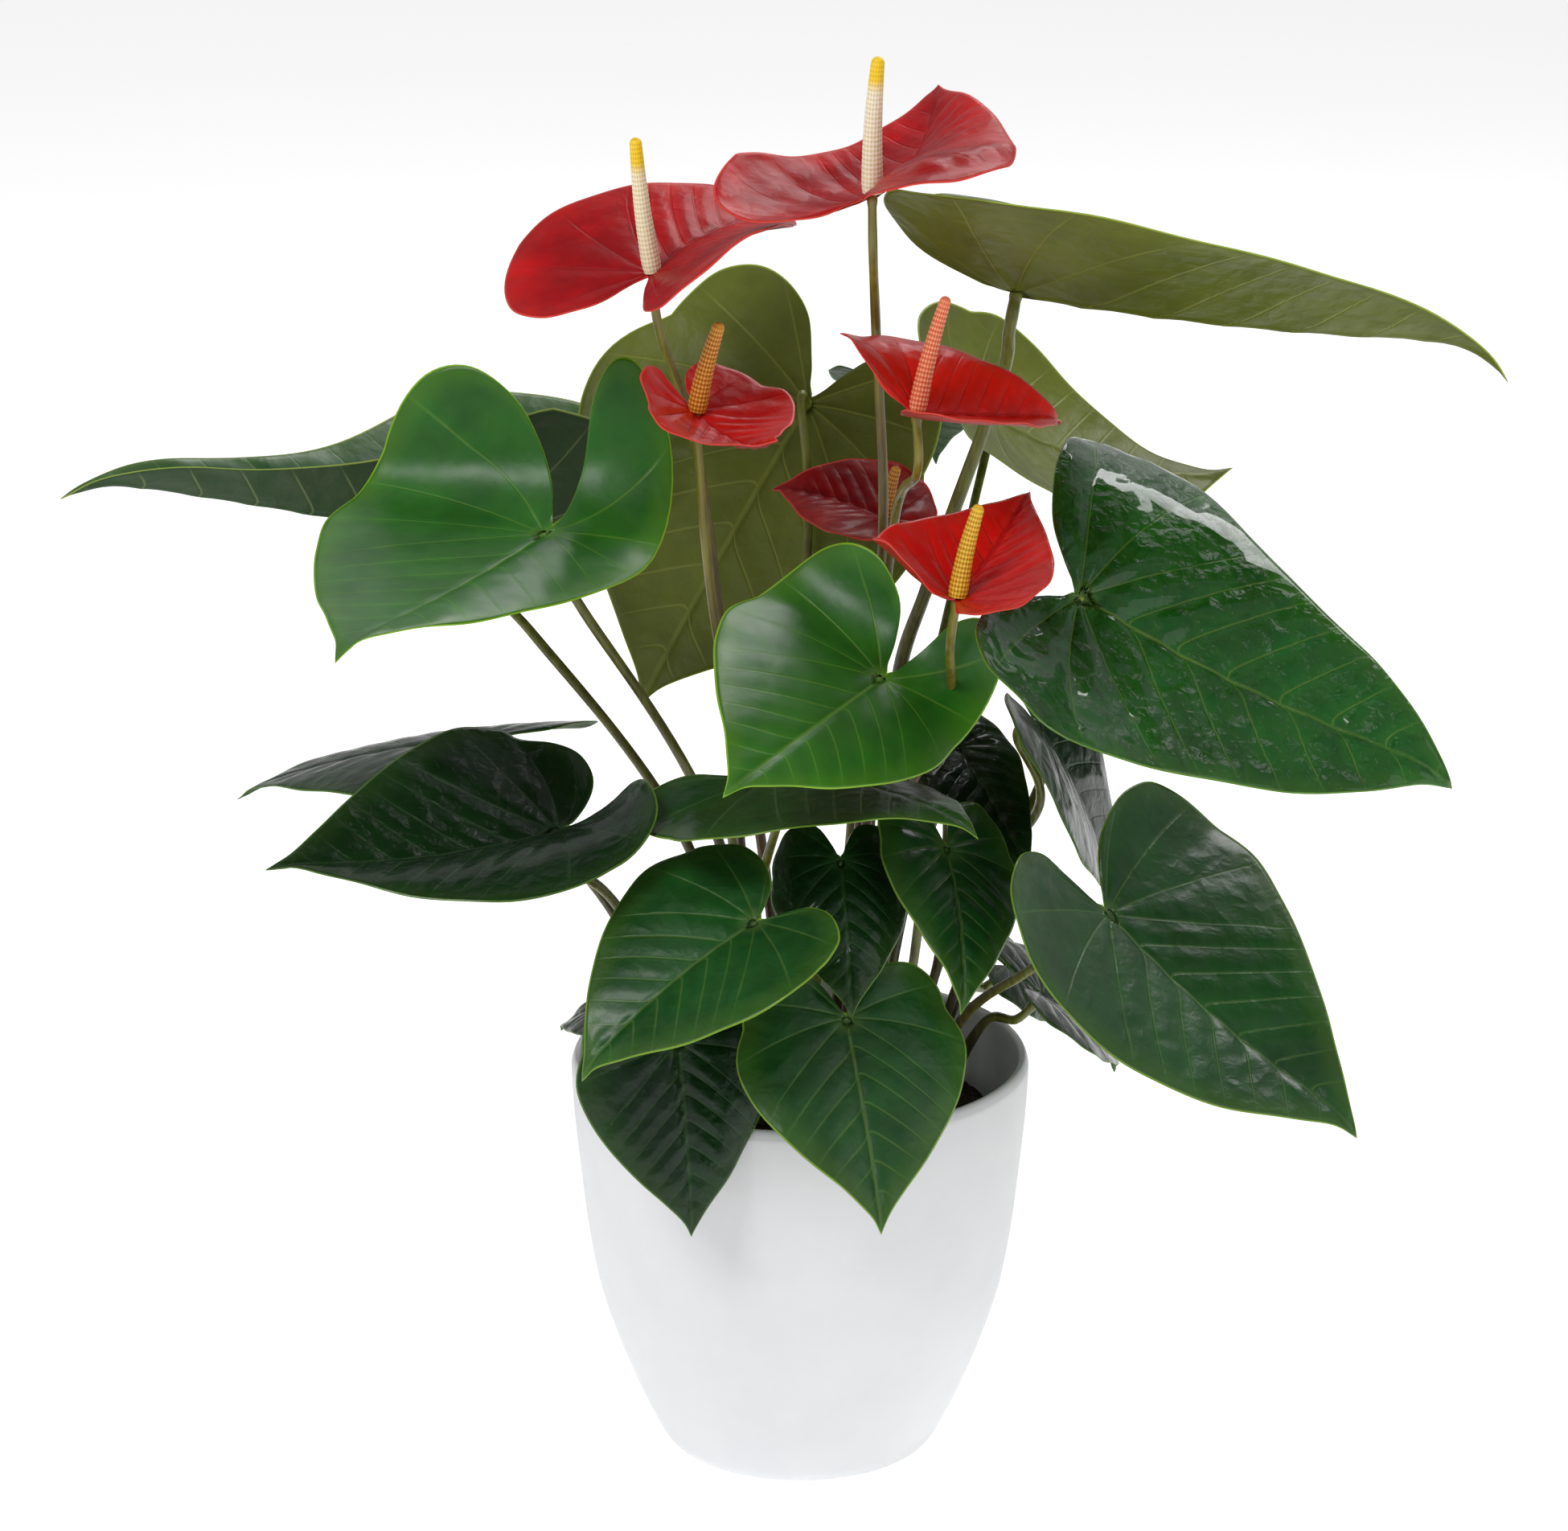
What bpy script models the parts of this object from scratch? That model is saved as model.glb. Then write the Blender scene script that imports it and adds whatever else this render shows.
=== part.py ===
import math

import bmesh
import bpy
import numpy as np

# Metres throughout. The origin is the centre of the pot's flat base, +Z is up, -Y is the front.
RIM_RADIUS = 0.090
POT_HEIGHT = 0.163
WALL = 0.004
FLOOR = 0.006
SOIL_TOP = 0.139
SOIL_RADIUS = 0.077
BLADE_THICK = 0.0008
SPATHE_THICK = 0.0009
GAP = 0.0007
STALK_RADIUS = 0.0019
MM = 0.001


def clear_scene():
    for old in list(bpy.data.objects):
        bpy.data.objects.remove(old, do_unlink=True)


def material(name, color, roughness):
    made = bpy.data.materials.new(name)
    made.use_nodes = True
    shader = made.node_tree.nodes["Principled BSDF"]
    shader.inputs["Base Color"].default_value = (*color, 1)
    shader.inputs["Roughness"].default_value = roughness
    made.diffuse_color = (*color, 1)
    return made


def solid(name, points, faces, look):
    mesh = bpy.data.meshes.new(name)
    mesh.from_pydata([tuple(p) for p in points], [], faces)
    mesh.validate()
    shape = bmesh.new()
    shape.from_mesh(mesh)
    bmesh.ops.recalc_face_normals(shape, faces=shape.faces)
    shape.to_mesh(mesh)
    shape.free()
    mesh.materials.append(look)
    made = bpy.data.objects.new(name, mesh)
    bpy.context.scene.collection.objects.link(made)
    return made


def smooth_path(knots, count):
    """Catmull-Rom curve through the knots."""
    knots = np.asarray(knots, float)
    ends = [2 * knots[0] - knots[1], *knots, 2 * knots[-1] - knots[-2]]
    q = np.array(ends)
    u = np.linspace(0, len(knots) - 1, count)
    i = np.minimum(u.astype(int), len(knots) - 2)
    f = (u - i)[:, None]
    a, b, c, d = q[i], q[i + 1], q[i + 2], q[i + 3]
    cubic = -a + 3 * b - 3 * c + d
    square = 2 * a - 5 * b + 4 * c - d
    return 0.5 * (2 * b + (c - a) * f + square * f**2 + cubic * f**3)


def lathe(name, profile, sides, look, wobble=None):
    """Closed solid of revolution: the profile runs from the axis round to the axis."""
    angle = np.arange(sides) * 2 * math.pi / sides
    points = [(0, 0, profile[0][1])]
    for radius, height in profile[1:-1]:
        far = radius if wobble is None else radius * (1 + wobble(angle) * (height > SOIL_TOP - 0.03))
        points += list(zip(far * np.cos(angle), far * np.sin(angle), np.full(sides, height)))
    points.append((0, 0, profile[-1][1]))
    faces = []
    rings = len(profile) - 2
    for k in range(sides):
        n = (k + 1) % sides
        faces.append((0, 1 + n, 1 + k))
        for ring in range(rings - 1):
            low = 1 + ring * sides
            high = low + sides
            faces.append((low + k, low + n, high + n, high + k))
        top = 1 + (rings - 1) * sides
        faces.append((top + k, top + n, len(points) - 1))
    return solid(name, points, faces, look)


def tube(name, path, radii, sides, look, upright=False):
    """Round tube along a path, with flat ends. The lower end can be cut level."""
    path = np.asarray(path, float)
    along = np.gradient(path, axis=0)
    if upright:
        along[0] = (0, 0, 1)
    along /= np.linalg.norm(along, axis=1)[:, None]
    across = np.cross(along[0], (0.3, 0.9, 0.1))
    points = []
    for centre, way, radius in zip(path, along, radii):
        across = across - way * (across @ way)
        across /= np.linalg.norm(across)
        other = np.cross(way, across)
        for k in range(sides):
            turn = 2 * math.pi * k / sides
            points.append(centre + radius * (math.cos(turn) * across + math.sin(turn) * other))
    faces = [tuple(range(sides))[::-1]]
    for ring in range(len(path) - 1):
        low = ring * sides
        for k in range(sides):
            n = (k + 1) % sides
            faces.append((low + k, low + n, low + sides + n, low + sides + k))
    last = (len(path) - 1) * sides
    faces.append(tuple(range(last, last + sides)))
    return solid(name, points, faces, look)


# Half of a heart-shaped blade, one unit from petiole to tip: along the midrib, then across it.
HEART = [
    (-0.030, 0.0), (-0.075, 0.024), (-0.15, 0.05), (-0.27, 0.11), (-0.335, 0.21),
    (-0.32, 0.32), (-0.22, 0.41), (-0.05, 0.455), (0.13, 0.45), (0.32, 0.385),
    (0.50, 0.30), (0.67, 0.205), (0.81, 0.11), (0.915, 0.038), (1.0, 0.0),
]
SHAPE = {
    "width": 1.0, "lobe": 1.0, "full": 0.1, "fold": (12, 12), "cup": (0.5, 0.5), "arch": 20,
    "twist": 0, "curl": 10, "lift": (0, 0), "wave": 0.0, "waves": 2.0, "phase": 0.0,
    "halves": (1, 1),
}
RINGS = (0.36, 0.70, 1.0)
HALF_POINTS = 12


def half_outline(shape, count):
    edge = smooth_path(HEART, count)
    along = np.where(edge[:, 0] < 0, edge[:, 0] * shape["lobe"], edge[:, 0])
    ahead = np.clip(along, 0, 1)
    across = edge[:, 1] * shape["width"] * (1 + 4 * shape["full"] * ahead * (1 - ahead))
    return along, across


def rim_of(shape, count):
    """The whole outline: out along the left half and back along the right half."""
    along, across = half_outline(shape, count)
    left, right = shape["halves"]
    whole = np.concatenate([along, along[-2:0:-1]])
    return whole, np.concatenate([left * across, -right * across[-2:0:-1]])


def bend(along, across, shape):
    """Flat blade to bent blade: arched midrib, folded and cupped halves, lifted lobes, twist."""
    table = np.linspace(-0.8, 1.2, 401)
    back = shape.get("back", -0.6 * shape["arch"])
    lean = np.where(table > 0, shape["arch"] * table, np.clip(-back * table, -80, 80))
    lean = np.radians(lean)
    lean = lean + np.radians(shape["curl"]) * np.clip((table - 0.75) / 0.25, 0, None) ** 2
    step = table[1] - table[0]
    middle = (lean[1:] + lean[:-1]) / 2
    run = np.concatenate([[0], np.cumsum(np.cos(middle)) * step])
    drop = np.concatenate([[0], -np.cumsum(np.sin(middle)) * step])
    run -= np.interp(0, table, run)
    drop -= np.interp(0, table, drop)
    left = across > 0
    out = np.abs(across)
    fold = np.radians(np.where(left, *shape["fold"]))
    cup = 2 * np.where(left, *shape["cup"])
    cup = np.where(np.abs(cup) < 1e-6, 1e-6, cup)
    side = np.sign(across) * (np.sin(fold) - np.sin(fold - cup * out)) / cup
    rise = (np.cos(fold - cup * out) - np.cos(fold)) / cup
    soft = np.sqrt(out**2 + 0.0009) - 0.03
    rise = rise * soft / np.maximum(out, 1e-9)
    ripple = np.sin(2 * math.pi * (shape["waves"] * along + shape["phase"] + 0.4 * left))
    rise = rise + shape["wave"] * (out / 0.45) ** 2 * ripple
    rise = rise + np.where(left, *shape["lift"]) * np.clip(-along, 0, None) ** 1.5
    turn = np.radians(shape["twist"]) * along
    side, rise = side * np.cos(turn) - rise * np.sin(turn), side * np.sin(turn) + rise * np.cos(turn)
    tilt = np.interp(along, table, lean)
    x = np.interp(along, table, run) + rise * np.sin(tilt)
    z = np.interp(along, table, drop) + rise * np.cos(tilt)
    return np.stack([x, side, z], -1)


def seat(blade):
    """The turn, scale and start that carry the bent unit blade to its place."""
    shape = {**SHAPE, **blade}
    start = np.array(blade["base"]) * MM
    reach = np.array(blade["tip"]) * MM - start
    size = np.linalg.norm(reach)
    ahead = reach / size
    side = np.cross((0, 0, 1), ahead)
    side /= np.linalg.norm(side)
    up = np.cross(ahead, side)
    roll = math.radians(blade["roll"])
    side = side * math.cos(roll) + up * math.sin(roll)
    up = np.cross(ahead, side)
    tip = bend(np.array([1.0]), np.array([0.0]), shape)[0]
    chord = tip / np.linalg.norm(tip)
    local = np.stack([chord, (0, 1, 0), np.cross(chord, (0, 1, 0))])
    turn = np.stack([ahead, side, up], 1) @ local
    return shape, start, size / np.linalg.norm(tip), turn


def blade_points(blade, thick):
    """Polar grid around the petiole: top skin, bottom skin."""
    shape, start, scale, turn = seat(blade)
    rim_s, rim_t = rim_of(shape, HALF_POINTS)
    s = np.concatenate([[0], *[rim_s * r for r in RINGS]])
    t = np.concatenate([[0], *[rim_t * r for r in RINGS]])
    h = 1e-4
    middle = bend(s, t, shape)
    normal = np.cross(bend(s + h, t, shape) - middle, bend(s, t + h, shape) - middle)
    back = np.cross(bend(s - h, t, shape) - middle, bend(s, t - h, shape) - middle)
    normal = normal / np.linalg.norm(normal, axis=1)[:, None]
    back = back / np.linalg.norm(back, axis=1)[:, None]
    normal = normal + back
    normal /= np.linalg.norm(normal, axis=1)[:, None]
    top = start + (scale * middle) @ turn.T + (normal @ turn.T) * thick / 2
    low = start + (scale * middle) @ turn.T - (normal @ turn.T) * thick / 2
    return top, low, len(rim_s), turn


def add_blade(name, blade, look, thick):
    top, low, count, _ = blade_points(blade, thick)
    shift = len(top)
    faces = []
    for k in range(count):
        n = (k + 1) % count
        faces.append((0, 1 + n, 1 + k))
        faces.append((shift, shift + 1 + k, shift + 1 + n))
        for ring in range(len(RINGS) - 1):
            a = 1 + ring * count
            b = a + count
            faces.append((a + k, a + n, b + n, b + k))
            faces.append((shift + b + k, shift + b + n, shift + a + n, shift + a + k))
        edge = 1 + (len(RINGS) - 1) * count
        faces.append((edge + k, edge + n, shift + edge + n, shift + edge + k))
    return solid(name, np.concatenate([top, low]), faces, look)


def petiole_path(blade, clear, radius, count):
    """From the crown, by any way points, to just under the blade, arriving square to it."""
    start = np.array(blade["base"]) * MM
    turn = seat(blade)[3]
    away = turn @ np.array([0.0, 0.0, -1.0])
    if "toward" in blade:
        away = np.array(blade["toward"], float)
        away /= np.linalg.norm(away)
    square = abs(away @ (turn @ np.array([0.0, 0.0, 1.0])))
    lean = math.sqrt(max(1 - square**2, 0)) / max(square, 0.3)
    end = start + away * (clear / max(square, 0.3) + radius * lean)
    near = end + away * blade.get("hook", 14) * MM
    foot = np.array([*blade["root"], 0]) * MM + np.array([0, 0, SOIL_TOP + GAP])
    ways = [np.array(way) * MM for way in blade.get("via", [])]
    return smooth_path([foot, *ways, near, end], count)


def finger_path(flower, thick, radius, count):
    """The spadix: from just above the spathe to its tip, with a slight bow."""
    start = np.array(flower["base"]) * MM
    end = np.array(flower["finger"]) * MM
    way = (end - start) / np.linalg.norm(end - start)
    up = seat(flower)[3] @ np.array([0.0, 0.0, 1.0])
    square = max(abs(way @ up), 0.3)
    lean = math.sqrt(max(1 - square**2, 0)) / square
    first = start + way * ((thick / 2 + GAP) / square + 1.1 * radius * lean)
    bow = np.cross(way, (0, 1, 0)) * flower.get("bow", 0) * MM
    middle = (first + end) / 2 + bow
    return smooth_path([first, middle, end], count)


def add_stem(name, path, radius, look, sides=6):
    grow = np.linspace(1.15, 0.9, len(path))
    return tube(name, path, radius * grow, sides, look, upright=True)


def add_spadix(name, path, radius, look):
    share = np.linspace(0, 1, len(path))
    taper = (1 - 0.42 * share**1.3) * np.clip((1.02 - share) * 9, 0.28, 1) ** 0.5
    return tube(name, path, radius * taper, 8, look)


def join_petiole(blade_part, stem):
    """A part-hidden leaf is one solid: blade and petiole grown together."""
    stem.hide_render = True
    stem.hide_set(True)
    union = blade_part.modifiers.new("petiole", "BOOLEAN")
    union.operation = "UNION"
    union.solver = "EXACT"
    union.object = stem


# Every position is in millimetres from the centre of the pot's base; turns are in degrees.
# base: where the petiole meets the blade. tip: the blade's point. root: place in the crown.
LEAVES = {
    "leaf_01": {  # bright, front left
        "base": (-96, -38, 384), "tip": (-164, -189, 379), "roll": 7, "root": (-14, -16),
        "width": 1.0, "lobe": 1.35, "full": 0, "halves": (0.55, 1.08), "fold": (-15, 12),
        "cup": (0.6, 0.05), "arch": -8, "back": 300, "twist": 3, "curl": 25,
        "via": [(-32, -33, 263), (-82, -50, 358)],
    },
    "leaf_02": {  # bright, front centre
        "base": (30, -74, 338), "tip": (-28, -170, 323), "roll": -25, "root": (6, -19),
        "width": 1.02, "lobe": 1.12, "full": 0.13, "halves": (0.72, 1.1), "fold": (-3, 8),
        "cup": (0.64, 0.28), "arch": 1, "back": 290, "twist": -6, "curl": 15,
        "via": [(-18, -33, 224), (-24, -47, 290)],
    },
    "leaf_03": {  # large and glossy, right
        "base": (104, -64, 367), "tip": (242, -93, 301), "roll": 33, "root": (30, -10),
        "width": 1.5, "lobe": 0.6, "full": -0.35, "fold": (14, 7), "cup": (0.8, -0.5),
        "arch": -25, "twist": 24, "curl": 48, "lift": (0.16, -0.16), 
        "via": [(54, 4, 198), (58, 20, 265), (59, 3, 328)],
    },
    "leaf_04": {  # lower right
        "base": (117, -58, 240), "tip": (209, -110, 169), "roll": -2, "root": (42, -8),
        "width": 1.27, "lobe": 0.8, "full": 0, "fold": (22, 0), "cup": (0.1, -0.1),
        "arch": -20, "twist": 27, "curl": 32, "lift": (0.7, 0.28), "via": [(63, -16, 182), (88, -36, 209)],
    },
    "leaf_05": {  # lower front, left
        "base": (-17, -114, 256), "tip": (-81, -145, 205), "roll": -15, "root": (-8, -31),
        "width": 1.11, "lobe": 0.67, "full": 0.19, "fold": (8, 18), "cup": (0, 0.3),
        "arch": 25, "back": 70, "twist": -8, "curl": 22, "via": [(-12, -58, 205)],
    },
    "leaf_06": {  # lower front, centre, over the rim
        "base": (17, -103, 214), "tip": (30, -147, 145), "roll": 0, "root": (30, -37),
        "width": 1.05, "lobe": 0.7, "full": 0.3, "fold": (9, 9), "cup": (0.4, 0.5),
        "arch": 10, "back": 60, "twist": -5, "curl": 14, "via": [(27, -56, 185)],
    },
    "leaf_07": {  # dark, over the rim at the left
        "base": (-46, -97, 202), "tip": (-41, -108, 128), "roll": 4, "root": (-24, -30),
        "width": 1.08, "lobe": 1.0, "full": 0.24, "fold": (2, 5), "cup": (0.5, 0.5),
        "arch": 9, "twist": -3, "curl": 0, "via": [(-36, -58, 184)],
    },
    "leaf_08": {  # dark, middle left
        "base": (-92, -57, 273), "tip": (-199, -99, 272), "roll": 8, "root": (-25, -19),
        "width": 1.11, "lobe": 0.91, "full": 0.18, "fold": (5, 34), "cup": (0.36, -0.07),
        "arch": -19, "back": 180, "twist": -16, "curl": 17, "via": [(-68, -37, 232)],
    },
    "leaf_10": {  # far left, its underside showing
        "base": (-129, 48, 359), "tip": (-280, -22, 394), "roll": 4, "root": (-20, 2),
        "width": 1.0, "lobe": 1.1, "full": -0.5, "fold": (54, 55), "cup": (0, 0.4),
        "arch": 1, "twist": 0, "curl": 38, "lift": (0, 0.5), "via": [(-43, -10, 250), (-104, 20, 328)],
    },
    "leaf_11": {  # olive, back, seen from underneath
        "base": (3, 63, 409), "tip": (-63, 65, 286), "roll": 107, "root": (-2, 6),
        "width": 1.08, "lobe": 0.78, "full": 0.5, "halves": (1, 0.8), "fold": (3, 4), "cup": (-0.3, 0.5),
        "arch": -17, "twist": -16, "curl": -20, "lift": (-0.55, 0.15), "via": [(-2, 16, 256), (3, 44, 368)],
    },
    "leaf_12": {  # long, upper right, its underside showing
        "base": (81, -12, 471), "tip": (263, -46, 445), "roll": -17, "root": (28, 10),
        "width": 1.07, "lobe": 0.85, "full": 0, "fold": (30, 26), "cup": (0.18, 0.32),
        "arch": -10, "back": 60, "twist": -6, "curl": 60,
        "via": [(36, 26, 290), (50, 14, 352), (75, -6, 433)],
    },
    "leaf_13": {  # olive, behind the middle right flower
        "base": (77, 104, 393), "tip": (178, 161, 357), "roll": -160, "root": (26, 22),
        "width": 1.05, "lobe": 0.8, "full": 0.25, "fold": (12, 6), "cup": (0.5, 1.0),
        "arch": 30, "twist": -7, "curl": 19, "via": [(45, 30, 270)], "toward": (-0.2, -0.2, -1),
    },
    "leaf_14": {  # dark, quilted, middle right
        "base": (61, 6, 286), "tip": (88, -50, 250), "roll": 2, "root": (26, -8),
        "width": 0.95, "halves": (0.72, 1), "lobe": 0.9, "full": 0, "fold": (8, 11), "cup": (0.56, 0.42),
        "arch": 14, "twist": 0, "curl": 6, "via": [(41, 4, 222)],
    },
    "leaf_15": {  # seen along its edge, right
        "base": (91, -16, 302), "tip": (121, 21, 214), "roll": 51, "root": (36, 8),
        "width": 1.0, "lobe": 1.0, "full": 0.2, "fold": (17, 13), "cup": (0.35, 0.4),
        "arch": 26, "twist": 13, "curl": 7, "hook": 9, "via": [(64, 21, 216), (93, 6, 262)],
    },
    "leaf_16": {  # middle, pointing right
        "base": (-9, -58, 295), "tip": (65, -129, 294), "roll": -7, "root": (-7, -6),
        "width": 1.24, "lobe": 0.78, "full": 0.17, "halves": (0.75, 1.05), "fold": (8, -14),
        "cup": (0.6, 0.1), "arch": 22, "back": 120, "twist": -8, "curl": 20,
        "via": [(-17, -19, 221)],
    },
    "leaf_17": {  # lower middle, hanging
        "base": (55, -64, 268), "tip": (60, -105, 216), "roll": -27, "root": (30, -26),
        "width": 0.96, "lobe": 1.0, "full": 0.17, "fold": (12, 13), "cup": (0.45, 0.6),
        "arch": 26, "twist": -5, "curl": 12, "via": [(42, -41, 205)],
    },
    "leaf_18": {  # dark and glossy, lower middle
        "base": (15, -76, 267), "tip": (19, -109, 216), "roll": 3, "root": (4, -27),
        "width": 1.0, "lobe": 0.91, "full": 0.18, "fold": (-10, -4), "cup": (0.8, 0.8),
        "arch": 30, "twist": 7, "curl": 10, "via": [(6, -38, 205)],
    },
}
# Leaves whose petioles are out of sight are one solid each.
HIDDEN_LEAVES = {
    "leaf_09": {  # behind leaf_08
        "base": (-125, 27, 283), "tip": (-225, 60, 248), "roll": -1, "root": (-35, -3),
        "width": 1.0, "lobe": 1.0, "full": 0.1, "fold": (6, 3), "cup": (0.5, 0.7),
        "arch": 16, "curl": 10, "via": [(-74, 14, 216)],
    },
    "leaf_19": {  # back, dark
        "base": (40, 92, 407), "tip": (56, 148, 363), "roll": 0, "root": (12, 26),
        "width": 0.85, "lobe": 1.15, "full": 0.1, "fold": (15, 10), "cup": (0.3, 0.5),
        "arch": 20, "curl": 12, "via": [(24, 34, 290)],
    },
    "leaf_20": {  # behind leaf_03, grey corner showing
        "base": (113, 38, 302), "tip": (172, 101, 249), "roll": 23, "root": (45, 16),
        "width": 1.05, "lobe": 1.0, "full": 0.2, "fold": (12, 11), "cup": (0.5, 0.4),
        "arch": 24, "twist": 2, "curl": 10, "via": [(73, 15, 215)],
    },
    "leaf_21": {  # small, right of the pot
        "base": (84, 58, 177), "tip": (107, 82, 145), "roll": 42, "root": (50, 30),
        "width": 1.0, "lobe": 1.0, "full": 0.15, "fold": (11, 10), "cup": (0.6, 0.5),
        "arch": 28, "twist": 5, "curl": 15, "via": [(64, 42, 172)],
    },
    "leaf_22": {  # narrow, under leaf_04
        "base": (95, 1, 186), "tip": (127, 37, 140), "roll": 32, "root": (54, 8),
        "width": 1.0, "lobe": 1.0, "full": 0.1, "fold": (16, 14), "cup": (0.45, 0.45),
        "arch": 20, "twist": 4, "curl": 10, "via": [(72, 6, 172)],
    },
    "leaf_23": {  # behind leaf_05, only its point showing
        "base": (-65, -20, 192), "tip": (-95, 10, 168), "roll": -22, "root": (-38, -12),
        "width": 1.0, "lobe": 1.0, "full": 0.1, "fold": (10, 11), "cup": (0.5, 0.5),
        "arch": 22, "twist": 3, "curl": 5, "via": [(-52, -16, 176)],
    },
}
# base: where stalk, spathe and spadix meet. finger: the spadix's tip.
FLOWERS = {
    "1": {  # top left
        "base": (-55, -33, 483), "tip": (-3, 41, 487), "roll": -10, "root": (-13, -3),
        "width": 1.41, "lobe": 1.12, "full": -0.1, "fold": (26, 17), "cup": (0.26, 0.05),
        "arch": 31, "twist": 30, "curl": 9, "lift": (0, -0.34), "finger": (-61, -38, 535), "girth": 3.6,
        "toward": (0.1, 0.05, -1), "via": [(-24, -7, 260), (-31, -15, 345), (-40, -23, 415)],
    },
    "2": {  # top, centre
        "base": (26, -49, 516), "tip": (52, 36, 541), "roll": -43, "root": (16, -12),
        "width": 1.48, "lobe": 1.29, "full": -0.14, "fold": (15, 10), "cup": (-0.96, 0.93),
        "arch": -37, "twist": 12, "curl": 7, "lift": (0.05, -0.43), "finger": (28, -54, 568), "girth": 4.0,
        "toward": (0.02, 0.05, -1), "via": [(25, -16, 300), (31, -28, 384), (28, -36, 459)],
    },
    "3": {  # middle left
        "base": (-39, -41, 432), "tip": (-9, -81, 432), "roll": 11, "root": (-2, -18),
        "width": 1.3, "lobe": 1.14, "full": 0.3, "fold": (-8, 31), "cup": (-0.2, -0.1),
        "arch": -65, "twist": 15, "curl": 0, "lift": (-0.2, 0.26), "finger": (-30, -45, 467), "girth": 3.7,
        "toward": (0.05, 0, -1), "via": [(-16, -13, 260), (-32, -36, 347)],
    },
    "4": {  # middle right
        "base": (42, -80, 441), "tip": (97, -33, 425), "roll": 44, "root": (22, -20),
        "width": 1.35, "lobe": 0.91, "full": 0.06, "fold": (21, 48), "cup": (1.0, -0.1),
        "arch": -5, "twist": 0, "curl": 55, "lift": (0.44, 0.34), "finger": (53, -76, 484), "girth": 3.4,
        "toward": (0.02, 0, -1), "via": [(26, -26, 280), (35, -40, 389)],
    },
    "5": {  # small, back
        "base": (33, 12, 376), "tip": (-11, 29, 384), "roll": -7, "root": (14, 9),
        "width": 1.34, "lobe": 0.89, "full": 0.1, "fold": (14, 19), "cup": (0.18, 0.12),
        "arch": 19, "twist": -25, "curl": 9, "lift": (0.27, -0.23), "finger": (37, 9, 398), "girth": 3.0,
        "toward": (-0.1, 0, -1), "via": [(28, 18, 256)],
    },
    "6": {  # lower right
        "base": (57, -98, 376), "tip": (86, -38, 401), "roll": 9, "root": (19, -28),
        "width": 1.14, "lobe": 1.08, "full": 0, "fold": (25, 18), "cup": (-0.15, -0.2),
        "arch": -25, "twist": -4, "curl": 17, "lift": (1.0, 0.2), "finger": (65, -96, 411), "girth": 3.6,
        "toward": (-0.1, 0.4, -1), "via": [(39, -27, 266), (55, -56, 318)],
    },
}
SPADIX_COLOURS = {
    "1": (0.86, 0.76, 0.52), "2": (0.88, 0.80, 0.60), "3": (0.80, 0.44, 0.10),
    "4": (0.86, 0.30, 0.16), "5": (0.62, 0.30, 0.05), "6": (0.80, 0.56, 0.04),
}
POT_PROFILE = [
    (0, 0), (47, 0), (51.8, 1.6), (55, 5), (57.2, 9), (63.4, 22), (72.2, 44), (79.5, 67),
    (83.9, 91), (86.8, 116), (89, 138), (90, 156), (89.6, 160.5), (88.2, 163),
    (86.6, 162.4), (86, 160), (86, 152), (85, 138), (82.8, 116), (79.9, 91), (75.5, 67),
    (68.2, 44), (59.4, 22), (53.5, 11), (46, 6), (0, 6),
]
SOIL_PROFILE = [
    (0, 6.4), (44, 6.4), (51, 22), (59, 44), (66, 67), (70, 91), (73.5, 116), (76.5, 134),
    (74.5, 139), (48, 139), (0, 139),
]


def soil_edge(angle):
    return 0.012 * np.sin(5 * angle + 1) + 0.01 * np.sin(11 * angle)


clear_scene()
scaled = [(r * MM, z * MM) for r, z in POT_PROFILE]
lathe("pot", scaled, 40, material("pot_white", (0.80, 0.81, 0.83), 0.55))
scaled = [(r * MM, z * MM) for r, z in SOIL_PROFILE]
lathe("soil", scaled, 32, material("soil_dark", (0.018, 0.012, 0.009), 0.95), soil_edge)

for number, flower in FLOWERS.items():
    red = material("spathe_red_" + number, (0.62, 0.008, 0.012), 0.2)
    add_blade("spathe_" + number, flower, red, SPATHE_THICK)
    girth = flower["girth"] * MM
    finger = finger_path(flower, SPATHE_THICK, girth, 7)
    add_spadix("spadix_" + number, finger, girth, material("spadix_" + number, SPADIX_COLOURS[number], 0.5))
    clear = SPATHE_THICK / 2 + GAP
    stalk = petiole_path({**flower, "hook": 22}, clear, STALK_RADIUS, 9)
    brown = material("stalk_" + number, (0.12, 0.10, 0.02), 0.4)
    add_stem("flower_stalk_" + number, stalk, STALK_RADIUS, brown)

for name, leaf in LEAVES.items():
    look = material(name + "_green", (0.03, 0.13, 0.02), 0.25)
    add_blade(name + "_blade", leaf, look, BLADE_THICK)
    path = petiole_path(leaf, BLADE_THICK / 2 + 2 * GAP, STALK_RADIUS, 9)
    brown = material(name + "_stem", (0.10, 0.10, 0.02), 0.4)
    add_stem(name + "_petiole", path, STALK_RADIUS, brown)

for name, leaf in HIDDEN_LEAVES.items():
    look = material(name + "_green", (0.02, 0.07, 0.02), 0.3)
    blade_part = add_blade(name, leaf, look, BLADE_THICK)
    path = petiole_path(leaf, -0.0001, STALK_RADIUS, 8)
    join_petiole(blade_part, add_stem(name + "_inner", path, STALK_RADIUS, look))
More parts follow.
